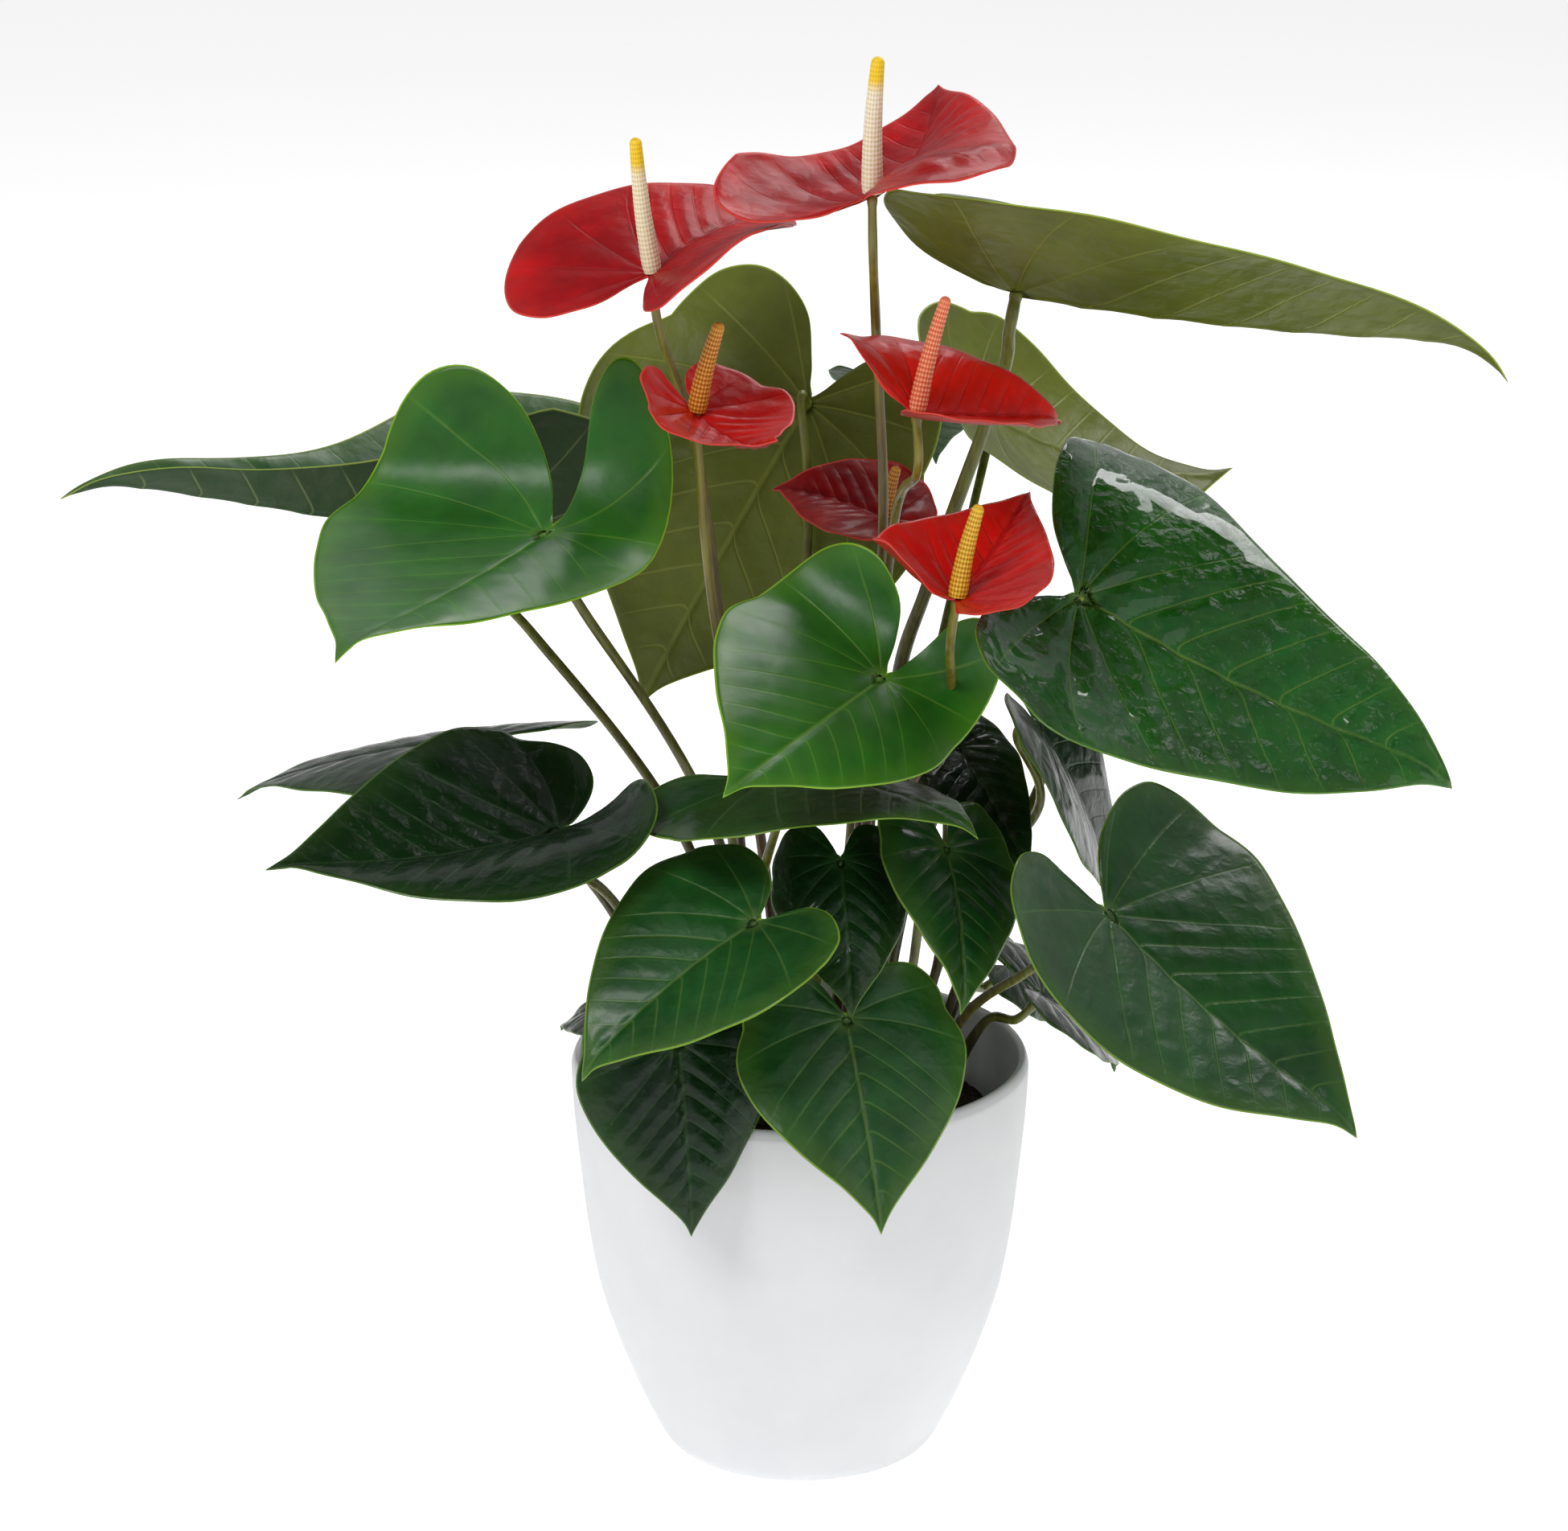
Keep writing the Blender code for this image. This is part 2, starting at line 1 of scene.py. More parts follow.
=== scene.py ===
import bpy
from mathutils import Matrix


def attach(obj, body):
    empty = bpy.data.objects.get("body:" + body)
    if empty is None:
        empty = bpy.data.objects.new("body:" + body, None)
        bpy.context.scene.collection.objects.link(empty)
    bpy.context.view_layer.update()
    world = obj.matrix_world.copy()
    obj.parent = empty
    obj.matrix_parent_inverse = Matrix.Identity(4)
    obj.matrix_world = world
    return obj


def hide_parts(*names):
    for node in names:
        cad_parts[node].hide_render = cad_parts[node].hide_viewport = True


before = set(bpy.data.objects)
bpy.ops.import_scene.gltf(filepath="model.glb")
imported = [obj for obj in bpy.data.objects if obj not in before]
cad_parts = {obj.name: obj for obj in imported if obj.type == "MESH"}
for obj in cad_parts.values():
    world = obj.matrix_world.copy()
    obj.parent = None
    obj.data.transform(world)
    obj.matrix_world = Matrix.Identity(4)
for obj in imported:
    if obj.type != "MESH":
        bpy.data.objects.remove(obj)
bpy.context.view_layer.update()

import math

import bpy
import numpy as np
from mathutils import Vector

mm = 0.001
scene = bpy.context.scene


# small helpers

def toLinear(code):
    # a screen colour such as "3f7a1c" as linear values
    parts = np.array([int(code[i:i + 2], 16) for i in (0, 2, 4)]) / 255
    return tuple(np.where(parts <= 0.04045, parts / 12.92, ((parts + 0.055) / 1.055) ** 2.4)) + (1.0,)


def smoothCurve(knots, count):
    # a cubic curve through the knots, each stretch leaving a knot along the line between its neighbours
    knots = np.asarray(knots, float)
    q = np.array([2 * knots[0] - knots[1], *knots, 2 * knots[-1] - knots[-2]])
    u = np.linspace(0, len(knots) - 1, count)
    i = np.minimum(u.astype(int), len(knots) - 2)
    f = (u - i)[:, None]
    a, b, c, d = q[i], q[i + 1], q[i + 2], q[i + 3]
    return 0.5 * (2 * b + (c - a) * f + (2 * a - 5 * b + 4 * c - d) * f**2 + (3 * b - a - 3 * c + d) * f**3)


def ripples(points, size, seed):
    # soft noise from -1 to 1: sines along a few turned directions, whose sum never repeats
    turn = np.random.default_rng(seed)
    total = np.zeros(len(points))
    for octave in range(5):
        way = turn.normal(size=(3, 3))
        waves = np.sin(points @ way * (2.2**octave * 2.5 / size) + turn.uniform(0, 6, 3))
        total += waves.prod(1) / 1.6**octave
    return total / 1.6


def makeMesh(name, points, quads, triangles, values, material):
    # one mesh from its corners, its faces and the named values that the material reads
    mesh = bpy.data.meshes.new(name)
    quads = np.asarray(quads, np.int32).reshape(-1, 4)
    triangles = np.asarray(triangles, np.int32).reshape(-1, 3)
    mesh.vertices.add(len(points))
    mesh.vertices.foreach_set("co", np.asarray(points, np.float32).ravel())
    corners = np.concatenate([quads.ravel(), triangles.ravel()])
    mesh.loops.add(len(corners))
    mesh.loops.foreach_set("vertex_index", corners)
    starts = np.concatenate([np.arange(len(quads)) * 4, 4 * len(quads) + np.arange(len(triangles)) * 3])
    mesh.polygons.add(len(starts))
    mesh.polygons.foreach_set("loop_start", starts.astype(np.int32))
    mesh.polygons.foreach_set("use_smooth", np.ones(len(starts), bool))
    mesh.update(calc_edges=True)
    mesh.validate()
    for label, numbers in values.items():
        held = mesh.attributes.new(label, "FLOAT", "POINT")
        held.data.foreach_set("value", np.asarray(numbers, np.float32))
    mesh.materials.append(material)
    piece = bpy.data.objects.new(name, mesh)
    scene.collection.objects.link(piece)
    return piece


def place(piece, slotName, *nodes):
    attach(piece, "root")
    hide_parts(*nodes)


# node helpers

def newGroup(name, inputs, outputs):
    group = bpy.data.node_groups.new(name, "ShaderNodeTree")
    for label, kind, value in inputs:
        group.interface.new_socket(label, in_out="INPUT", socket_type=kind).default_value = value
    for label, kind in outputs:
        group.interface.new_socket(label, in_out="OUTPUT", socket_type=kind)
    return group, group.nodes.new("NodeGroupInput").outputs, group.nodes.new("NodeGroupOutput").inputs


def joined(tree, socket, value):
    if hasattr(value, "is_output"):
        tree.links.new(value, socket)
    else:
        socket.default_value = value


def calc(tree, how, first, second=0.0, clamp=False):
    node = tree.nodes.new("ShaderNodeMath")
    node.operation = how
    node.use_clamp = clamp
    joined(tree, node.inputs[0], first)
    joined(tree, node.inputs[1], second)
    return node.outputs[0]


def step(tree, value, low, high, start=0.0, end=1.0):
    node = tree.nodes.new("ShaderNodeMapRange")
    node.interpolation_type = "SMOOTHSTEP"
    for socket, number in zip(node.inputs[:5], (value, low, high, start, end)):
        joined(tree, socket, number)
    return node.outputs[0]


def blendColor(tree, share, first, second):
    node = tree.nodes.new("ShaderNodeMix")
    node.data_type = "RGBA"
    joined(tree, node.inputs[0], share)
    joined(tree, node.inputs[6], first)
    joined(tree, node.inputs[7], second)
    return node.outputs[2]


def readValue(tree, label):
    node = tree.nodes.new("ShaderNodeAttribute")
    node.attribute_name = label
    return node.outputs["Fac"]


def grain(tree, scale, detail=3.0, roughness=0.5, stretch=None):
    spot = tree.nodes.new("ShaderNodeTexCoord").outputs["Object"]
    if stretch:
        mapping = tree.nodes.new("ShaderNodeMapping")
        mapping.inputs["Scale"].default_value = stretch
        tree.links.new(spot, mapping.inputs[0])
        spot = mapping.outputs[0]
    noise = tree.nodes.new("ShaderNodeTexNoise")
    noise.inputs["Scale"].default_value = scale
    noise.inputs["Detail"].default_value = detail
    noise.inputs["Roughness"].default_value = roughness
    tree.links.new(spot, noise.inputs["Vector"])
    return noise.outputs["Fac"]


def cells(tree, scale, feature="DISTANCE_TO_EDGE"):
    # irregular cells, bent a little so that their walls aren't straight
    spot = tree.nodes.new("ShaderNodeTexCoord").outputs["Object"]
    warp = tree.nodes.new("ShaderNodeTexNoise")
    joined(tree, warp.inputs["Scale"], calc(tree, "MULTIPLY", scale, 0.8))
    tree.links.new(spot, warp.inputs["Vector"])
    shift = tree.nodes.new("ShaderNodeVectorMath")
    shift.operation = "MULTIPLY_ADD"
    tree.links.new(warp.outputs["Color"], shift.inputs[0])
    shift.inputs[1].default_value = (0.006, 0.006, 0.006)
    tree.links.new(spot, shift.inputs[2])
    voronoi = tree.nodes.new("ShaderNodeTexVoronoi")
    voronoi.feature = feature
    joined(tree, voronoi.inputs["Scale"], scale)
    tree.links.new(shift.outputs[0], voronoi.inputs["Vector"])
    return voronoi.outputs["Distance"]


def plainMaterial(name):
    material = bpy.data.materials.new(name)
    material.use_nodes = True
    return material, material.node_tree, material.node_tree.nodes["Principled BSDF"]


def addBump(tree, shader, height, distance, strength=1.0):
    bump = tree.nodes.new("ShaderNodeBump")
    bump.inputs["Distance"].default_value = distance
    bump.inputs["Strength"].default_value = strength
    tree.links.new(height, bump.inputs["Height"])
    tree.links.new(bump.outputs[0], shader.inputs["Normal"])


# the skin of leaves and spathes

def buildSkinGroup():
    # base colour mottled from light to deep, pale veins and margin, quilts between veins, a duller underside
    group, given, result = newGroup("bladeSkin", [
        ("Light", "NodeSocketColor", (0.1, 0.3, 0.05, 1)), ("Deep", "NodeSocketColor", (0.05, 0.2, 0.03, 1)),
        ("Vein", "NodeSocketColor", (0.4, 0.5, 0.1, 1)), ("Margin", "NodeSocketColor", (0.4, 0.5, 0.1, 1)),
        ("Under", "NodeSocketColor", (0.1, 0.15, 0.03, 1)), ("Vein Show", "NodeSocketFloat", 0.5),
        ("Quilt Scale", "NodeSocketFloat", 110.0), ("Quilt Depth", "NodeSocketFloat", 0.5),
        ("Top Roughness", "NodeSocketFloat", 0.35), ("Under Roughness", "NodeSocketFloat", 0.6),
    ], [("Color", "NodeSocketColor"), ("Roughness", "NodeSocketFloat"), ("Height", "NodeSocketFloat"),
        ("Top", "NodeSocketFloat")])
    side = readValue(group, "side")
    phase = readValue(group, "veinPhase")
    spacing = readValue(group, "veinSpacing")  # millimetres between veins
    rib = readValue(group, "ribDistance")  # millimetres from the midrib
    edge = readValue(group, "edgeDistance")  # millimetres from the margin
    hub = readValue(group, "hubDistance")  # millimetres from the petiole
    inCell = calc(group, "ABSOLUTE", calc(group, "SUBTRACT", calc(group, "FRACT", phase), 0.5))
    toVein = calc(group, "MULTIPLY", calc(group, "SUBTRACT", 0.5, inCell), spacing)
    fade = step(group, edge, 2.0, 16.0, 0.25, 1.0)
    vein = calc(group, "MULTIPLY", step(group, toVein, 0.75, 0.1), fade)
    midrib = calc(group, "MULTIPLY", step(group, rib, 1.3, 0.3), step(group, hub, 160, 10, 0.35, 1))
    lines = calc(group, "MAXIMUM", calc(group, "MULTIPLY", vein, 0.75), midrib)
    junction = step(group, hub, 9.0, 1.5)
    lines = calc(group, "MAXIMUM", lines, junction)
    walls = cells(group, given["Quilt Scale"])
    mesh = step(group, walls, 0.0, 0.42)
    fine = cells(group, calc(group, "MULTIPLY", given["Quilt Scale"], 2.6))
    fineMesh = step(group, fine, 0.0, 0.4)
    mottle = step(group, grain(group, 26.0, 4.0, 0.6), 0.3, 0.7)
    color = blendColor(group, mottle, given["Deep"], given["Light"])
    between = step(group, toVein, 0.2, 5.0)
    color = blendColor(group, calc(group, "MULTIPLY", between, 0.35), color, given["Deep"])
    net = calc(group, "MULTIPLY", calc(group, "SUBTRACT", 1.0, mesh), 0.10)
    color = blendColor(group, calc(group, "MULTIPLY", net, given["Vein Show"]), color, given["Vein"])
    color = blendColor(group, calc(group, "MULTIPLY", lines, given["Vein Show"]), color, given["Vein"])
    color = blendColor(group, step(group, edge, 14.0, 1.0, 0.0, 0.12), color, given["Margin"])
    color = blendColor(group, step(group, edge, 0.9, 0.4), color, given["Margin"])
    underMottle = step(group, grain(group, 14.0, 5.0, 0.62), 0.3, 0.72, 0.0, 0.55)
    under = blendColor(group, underMottle, given["Under"], given["Deep"])
    underLine = calc(group, "MULTIPLY", calc(group, "MAXIMUM", vein, midrib), 0.4)
    under = blendColor(group, underLine, under, given["Vein"])
    under = blendColor(group, step(group, edge, 0.95, 0.3), under, given["Margin"])
    joined(group, result["Color"], blendColor(group, side, under, color))
    worn = calc(group, "ADD", given["Top Roughness"], step(group, grain(group, 60.0), 0.3, 0.7, -0.05, 0.07))
    mixed = calc(group, "ADD", calc(group, "MULTIPLY", worn, side), calc(
        group, "MULTIPLY", given["Under Roughness"], calc(group, "SUBTRACT", 1.0, side)))
    joined(group, result["Roughness"], mixed)
    relief = calc(group, "MULTIPLY", mesh, given["Quilt Depth"])
    fineDepth = calc(group, "MULTIPLY", given["Quilt Depth"], 0.22)
    relief = calc(group, "ADD", relief, calc(group, "MULTIPLY", fineMesh, fineDepth))
    relief = calc(group, "SUBTRACT", relief, calc(group, "MULTIPLY", lines, 0.5))
    relief = calc(group, "ADD", relief, calc(group, "MULTIPLY", grain(group, 900.0, 2.0), 0.04))
    joined(group, result["Height"], relief)
    joined(group, result["Top"], side)
    return group


skinGroup = buildSkinGroup()


def skinMaterial(name, look):
    material, tree, shader = plainMaterial(name)
    skin = tree.nodes.new("ShaderNodeGroup")
    skin.node_tree = skinGroup
    for label in ("Light", "Deep", "Vein", "Margin", "Under"):
        skin.inputs[label].default_value = toLinear(look[label.lower()])
    skin.inputs["Vein Show"].default_value = look["veinShow"]
    skin.inputs["Quilt Scale"].default_value = look["quiltScale"]
    skin.inputs["Quilt Depth"].default_value = look["quiltDepth"]
    skin.inputs["Top Roughness"].default_value = look["roughness"]
    skin.inputs["Under Roughness"].default_value = look["underRoughness"]
    tree.links.new(skin.outputs["Color"], shader.inputs["Base Color"])
    tree.links.new(skin.outputs["Roughness"], shader.inputs["Roughness"])
    tree.links.new(calc(tree, "MULTIPLY", skin.outputs["Top"], look["coat"]), shader.inputs["Coat Weight"])
    shader.inputs["Coat Roughness"].default_value = look["coatRoughness"]
    shader.inputs["Coat IOR"].default_value = look.get("coatBend", 1.4)
    shader.inputs["Specular IOR Level"].default_value = look.get("specular", 0.3)
    addBump(tree, shader, skin.outputs["Height"], look["bump"])
    return material


leafLooks = {
    "fresh": {"light": "277019", "deep": "17540f", "vein": "7da83a", "margin": "86b81e", "under": "5d7a2c",
              "veinShow": 0.32, "quiltScale": 70, "quiltDepth": 0.3, "roughness": 0.42, "specular": 0.3,
              "underRoughness": 0.55, "coat": 0.3, "coatRoughness": 0.28, "bump": 0.0005},
    "glossy": {"light": "0b5a12", "deep": "043c0a", "vein": "7f9f3f", "margin": "5f8a2a", "under": "4f6a2a",
               "veinShow": 0.3, "quiltScale": 95, "quiltDepth": 1.0, "roughness": 0.34, "specular": 0.12,
               "underRoughness": 0.55, "coat": 0.8, "coatRoughness": 0.05, "bump": 0.0011},
    "deep": {"light": "174d1c", "deep": "0c3611", "vein": "6f8f45", "margin": "6f9030", "under": "44602a",
             "veinShow": 0.26, "quiltScale": 80, "quiltDepth": 0.6, "roughness": 0.38, "specular": 0.2,
             "underRoughness": 0.55, "coat": 0.4, "coatRoughness": 0.18, "bump": 0.0007},
    "middling": {"light": "1b5420", "deep": "103c14", "vein": "78964c", "margin": "769a2c", "under": "44602a",
                 "veinShow": 0.28, "quiltScale": 80, "quiltDepth": 0.6, "roughness": 0.4, "specular": 0.22,
                 "underRoughness": 0.55, "coat": 0.3, "coatRoughness": 0.22, "bump": 0.0006},
    "dark": {"light": "0e3012", "deep": "06200a", "vein": "466a34", "margin": "4f7028", "under": "39502a",
             "veinShow": 0.22, "quiltScale": 90, "quiltDepth": 0.8, "roughness": 0.36, "specular": 0.12,
             "underRoughness": 0.55, "coat": 0.42, "coatRoughness": 0.12, "bump": 0.0008},
    "grey": {"light": "285a28", "deep": "1a451d", "vein": "7f8f5a", "margin": "8a9c46", "under": "36482c",
             "veinShow": 0.42, "quiltScale": 70, "quiltDepth": 0.5, "roughness": 0.4, "specular": 0.25,
             "underRoughness": 0.5, "coat": 0.4, "coatRoughness": 0.2, "bump": 0.0006},
    # olive: the underside's own paler green, with a yellow-olive tint that is painted light shining through
    # the leaf
    "olive": {"light": "1f521c", "deep": "333d12", "vein": "8f983c", "margin": "93aa36", "under": "6a7420",
              "veinShow": 0.42, "quiltScale": 85, "quiltDepth": 0.5, "roughness": 0.34, "specular": 0.3,
              "underRoughness": 0.46, "coat": 0.6, "coatRoughness": 0.15, "bump": 0.0006},
}
print("skins ready")

# the blade: half an outline, from the petiole round the lobe to the tip, for a blade one unit long

heartOutline = [
    (-0.030, 0.0), (-0.075, 0.024), (-0.15, 0.05), (-0.27, 0.11), (-0.335, 0.21),
    (-0.32, 0.32), (-0.22, 0.41), (-0.05, 0.455), (0.13, 0.45), (0.32, 0.385),
    (0.50, 0.30), (0.67, 0.205), (0.81, 0.11), (0.915, 0.038), (1.0, 0.0),
]

plainShape = {
    "width": 1.0, "lobe": 1.0, "full": 0.1, "fold": (12, 12), "cup": (0.5, 0.5), "arch": 20,
    "twist": 0, "curl": 10, "lift": (0, 0), "wave": 0.0, "waves": 2.0, "phase": 0.0,
    "halves": (1, 1), "quilt": 0.5,
}


def outlineOf(shape, count):
    # the half outline, stretched: lobes by lobe, width by width, and fuller halfway to the tip by full
    half = smoothCurve(heartOutline, count)
    along = np.where(half[:, 0] < 0, half[:, 0] * shape["lobe"], half[:, 0])
    ahead = np.clip(along, 0, 1)
    across = half[:, 1] * shape["width"] * (1 + 4 * shape["full"] * ahead * (1 - ahead))
    left, right = shape["halves"]
    return np.concatenate([along, along[-2:0:-1]]), np.concatenate([left * across, -right * across[-2:0:-1]])


def bendBlade(along, across, shape):
    # the midrib is a curve whose slope grows along it; each half leaves it at the fold angle and
    # curls down by cup; lobes lift by lift; the whole turns about the midrib by twist
    table = np.linspace(-0.8, 1.2, 401)
    back = shape.get("back", -0.6 * shape["arch"])
    lean = np.radians(np.where(table > 0, shape["arch"] * table, np.clip(-back * table, -80, 80)))
    lean = lean + np.radians(shape["curl"]) * np.clip((table - 0.75) / 0.25, 0, None) ** 2
    middle = (lean[1:] + lean[:-1]) / 2
    run = np.concatenate([[0], np.cumsum(np.cos(middle)) * 0.005])
    drop = np.concatenate([[0], -np.cumsum(np.sin(middle)) * 0.005])
    run -= np.interp(0, table, run)
    drop -= np.interp(0, table, drop)
    left = across > 0
    out = np.abs(across)
    fold = np.radians(np.where(left, *shape["fold"]))
    cup = 2 * np.where(left, *shape["cup"])
    cup = np.where(np.abs(cup) < 1e-6, 1e-6, cup)
    side = np.sign(across) * (np.sin(fold) - np.sin(fold - cup * out)) / cup
    rise = (np.cos(fold - cup * out) - np.cos(fold)) / cup
    rise = rise * (np.sqrt(out**2 + 0.0009) - 0.03) / np.maximum(out, 1e-9)
    ripple = np.sin(2 * math.pi * (shape["waves"] * along + shape["phase"] + 0.4 * left))
    rise = rise + shape["wave"] * (out / 0.45) ** 2 * ripple
    rise = rise + np.where(left, *shape["lift"]) * np.clip(-along, 0, None) ** 1.5
    turn = np.radians(shape["twist"]) * along
    side, rise = side * np.cos(turn) - rise * np.sin(turn), side * np.sin(turn) + rise * np.cos(turn)
    tilt = np.interp(along, table, lean)
    return np.stack([np.interp(along, table, run) + rise * np.sin(tilt), side,
                     np.interp(along, table, drop) + rise * np.cos(tilt)], -1)


def seatBlade(blade):
    # turns, scales and moves the unit blade so that it runs from base to tip, rolled about that line
    shape = {**plainShape, **blade}
    start = np.array(blade["base"]) * mm
    reach = np.array(blade["tip"]) * mm - start
    size = np.linalg.norm(reach)
    ahead = reach / size
    side = np.cross((0, 0, 1), ahead)
    side /= np.linalg.norm(side)
    up = np.cross(ahead, side)
    roll = math.radians(blade["roll"])
    side = side * math.cos(roll) + up * math.sin(roll)
    up = np.cross(ahead, side)
    tip = bendBlade(np.array([1.0]), np.array([0.0]), shape)[0]
    chord = tip / np.linalg.norm(tip)
    local = np.stack([chord, (0, 1, 0), np.cross(chord, (0, 1, 0))])
    return shape, start, size / np.linalg.norm(tip), np.stack([ahead, side, up], 1) @ local


def veinField(along, across, scale):
    # side veins leave the midrib at even steps and arc towards the tip; past the first, they fan out
    # from the petiole into the lobe. The phase is whole on a vein
    out = np.abs(across)
    ahead = along - 0.75 * out - 0.55 * out**2
    gap = 0.135  # between side veins, along the midrib
    angle = np.arctan2(out, along) - np.arctan2(1, 0.75 + 0.55 * out)
    fan = 0.52  # radians between the veins of a lobe
    reach = np.hypot(along, across)
    phase = np.where(ahead > 0, ahead / gap, -angle / fan)
    lobeSpacing = np.minimum(np.maximum(reach * fan, 0.004), gap * 0.75 + reach * 0.2)
    spacing = np.where(ahead > 0, gap * 0.75, lobeSpacing)
    phase = phase + 0.2 * np.tanh(across / 0.02) * np.clip(ahead / 0.2, 0, 1)
    return phase, spacing * scale * 1000


def makeBlade(name, blade, thick, material, rings=36, halfPoints=92):
    # rings shrink the outline towards the petiole; a top skin and a bottom skin meet at the rim
    shape, start, scale, turn = seatBlade(blade)
    rimAlong, rimAcross = outlineOf(shape, halfPoints)
    count = len(rimAlong)
    share = (np.arange(1, rings + 1) / rings) ** 0.92
    s = np.concatenate([[0], np.outer(share, rimAlong).ravel()])
    t = np.concatenate([[0], np.outer(share, rimAcross).ravel()])
    ring = np.concatenate([[0], np.repeat(share, count)])
    turnCount = np.concatenate([[0], np.tile(np.linspace(0, 1, count, endpoint=False), rings)])
    small = 1e-4
    middle = bendBlade(s, t, shape)
    normal = np.cross(bendBlade(s + small, t, shape) - middle, bendBlade(s, t + small, shape) - middle)
    other = np.cross(bendBlade(s - small, t, shape) - middle, bendBlade(s, t - small, shape) - middle)
    normal = normal / np.linalg.norm(normal, axis=1)[:, None] + other / np.linalg.norm(other, axis=1)[:, None]
    normal /= np.linalg.norm(normal, axis=1)[:, None]
    normal = normal @ turn.T
    points = start + (scale * middle) @ turn.T
    phase, spacing = veinField(s, t, scale)
    toMargin = np.hypot(np.tile(rimAlong, rings), np.tile(rimAcross, rings))
    edge = np.concatenate([[50], (1 - np.repeat(share, count)) * toMargin * scale * 1000])
    hub = np.hypot(s, t) * scale * 1000
    rib = np.abs(t) * scale * 1000
    rib = np.where(s < 0, np.hypot(s, t) * scale * 1000, rib)
    # quilts stand up between veins and die out at the margin; the midrib and the veins lie in furrows
    calm = np.clip(edge / 9, 0, 1) * np.clip(hub / 14, 0, 1)
    quilt = shape["quilt"] * (0.5 - 0.5 * np.cos(2 * math.pi * phase)) ** 0.6 * calm
    lumps = shape["quilt"] * ripples(points * 1000, 22, 3 + len(name)) * 0.35 * np.clip(edge / 5, 0.15, 1)
    furrow = 0.55 * np.exp(-(rib / 2.2) ** 2) * np.clip(edge / 12, 0, 1)
    flutter = 0.5 * np.sin(2 * math.pi * 7 * turnCount + 1) + 0.35 * np.sin(2 * math.pi * 17 * turnCount + 2)
    height = 0.75 * quilt + lumps - furrow + flutter * ring**8
    for bubble in shape.get("bubbles", []):
        far = np.hypot(s - bubble[0], t - bubble[1]) / bubble[2]
        height = height + bubble[3] * np.exp(-far**4)
    points = points + normal * (height * mm)[:, None]
    keel = 0.9 * np.exp(-(rib / 1.5) ** 2) * np.clip(1 - hub / (scale * 1100), 0, 1)
    keel = keel * np.clip(edge / 10, 0, 1)
    ridges = 0.22 * np.exp(-((0.5 - np.abs(phase % 1 - 0.5)) * spacing / 0.9) ** 2) * calm
    rimThin = np.clip(edge / 1.5, 0.45, 1)
    top = points + normal * (thick / 2 * rimThin)[:, None]
    low = points - normal * (thick / 2 * rimThin + (keel + ridges) * mm)[:, None]
    shift = len(top)
    k = np.arange(count)
    n = (k + 1) % count
    a = (1 + np.arange(rings - 1) * count)[:, None]
    topQuads = np.stack([a + k, a + n, a + count + n, a + count + k], -1).reshape(-1, 4)
    rim = 1 + (rings - 1) * count
    rimQuads = np.stack([rim + k, rim + n, shift + rim + n, shift + rim + k], -1)
    hubFan = np.stack([0 * k, 1 + n, 1 + k], -1)
    quads = np.concatenate([topQuads, shift + topQuads[:, ::-1], rimQuads])
    fans = np.concatenate([hubFan[:, ::-1], shift + hubFan])
    both = lambda numbers: np.concatenate([numbers, numbers])
    values = {
        "side": np.concatenate([np.ones(shift), np.zeros(shift)]), "veinPhase": both(phase),
        "veinSpacing": both(spacing), "ribDistance": both(rib), "edgeDistance": both(edge),
        "hubDistance": both(hub),
    }
    return makeMesh(name, np.concatenate([top, low]), quads, fans, values, material)


# stalks, petioles and spadices

def turnedFrames(path):
    # at each point of the path, two directions square to it that turn as little as they can
    along = np.gradient(path, axis=0)
    along /= np.linalg.norm(along, axis=1)[:, None]
    across = np.cross(along[0], (0.3, 0.9, 0.1))
    sides = []
    for way in along:
        across = across - way * (across @ way)
        across = across / np.linalg.norm(across)
        sides.append(across)
    sides = np.array(sides)
    return along, sides, np.cross(along, sides)


def joinRings(rows, sides):
    # quads between neighbouring rings, and a fan from each end ring to its own point, held last
    k = np.arange(sides)
    n = (k + 1) % sides
    a = (np.arange(rows - 1) * sides)[:, None]
    quads = np.stack([a + k, a + n, a + sides + n, a + sides + k], -1).reshape(-1, 4)
    last = (rows - 1) * sides
    low = np.full(sides, rows * sides)
    start = np.stack([n, k, low], -1)
    end = np.stack([last + k, last + n, low + 1], -1)
    return quads, np.concatenate([start, end])


def makeTube(name, path, radius, sides, values, material):
    # circles of the given radii square to the path, closed by a point at each end
    along, first, second = turnedFrames(path)
    angle = np.arange(sides) * 2 * math.pi / sides
    radius = np.broadcast_to(np.asarray(radius, float).reshape(len(path), -1), (len(path), sides))
    ring = first[:, None] * np.cos(angle)[:, None] + second[:, None] * np.sin(angle)[:, None]
    points = (path[:, None] + ring * radius[..., None]).reshape(-1, 3)
    points = np.concatenate([points, path[:1], path[-1:]])
    quads, fans = joinRings(len(path), sides)
    held = {}
    for label, numbers in values.items():
        spread = np.broadcast_to(np.asarray(numbers, float).reshape(len(path), -1), (len(path), sides))
        held[label] = np.concatenate([spread.ravel(), [spread[0, 0]], [spread[-1, 0]]])
    return makeMesh(name, points, quads, fans, held, material)


def stemPath(blade, clear, hook, count):
    # up from the crown through the way points, then square into the underside of the blade
    start = np.array(blade["base"]) * mm
    turn = seatBlade(blade)[3]
    away = turn @ np.array([0.0, 0.0, -1.0])
    if "toward" in blade:
        away = np.array(blade["toward"], float)
        away /= np.linalg.norm(away)
    end = start + away * clear
    near = end + away * hook * mm
    foot = np.array([*blade["root"], soil["top"] - 4]) * mm
    ways = [np.array(way) * mm for way in blade.get("via", [])]
    return smoothCurve([foot, *ways, near, end], count)


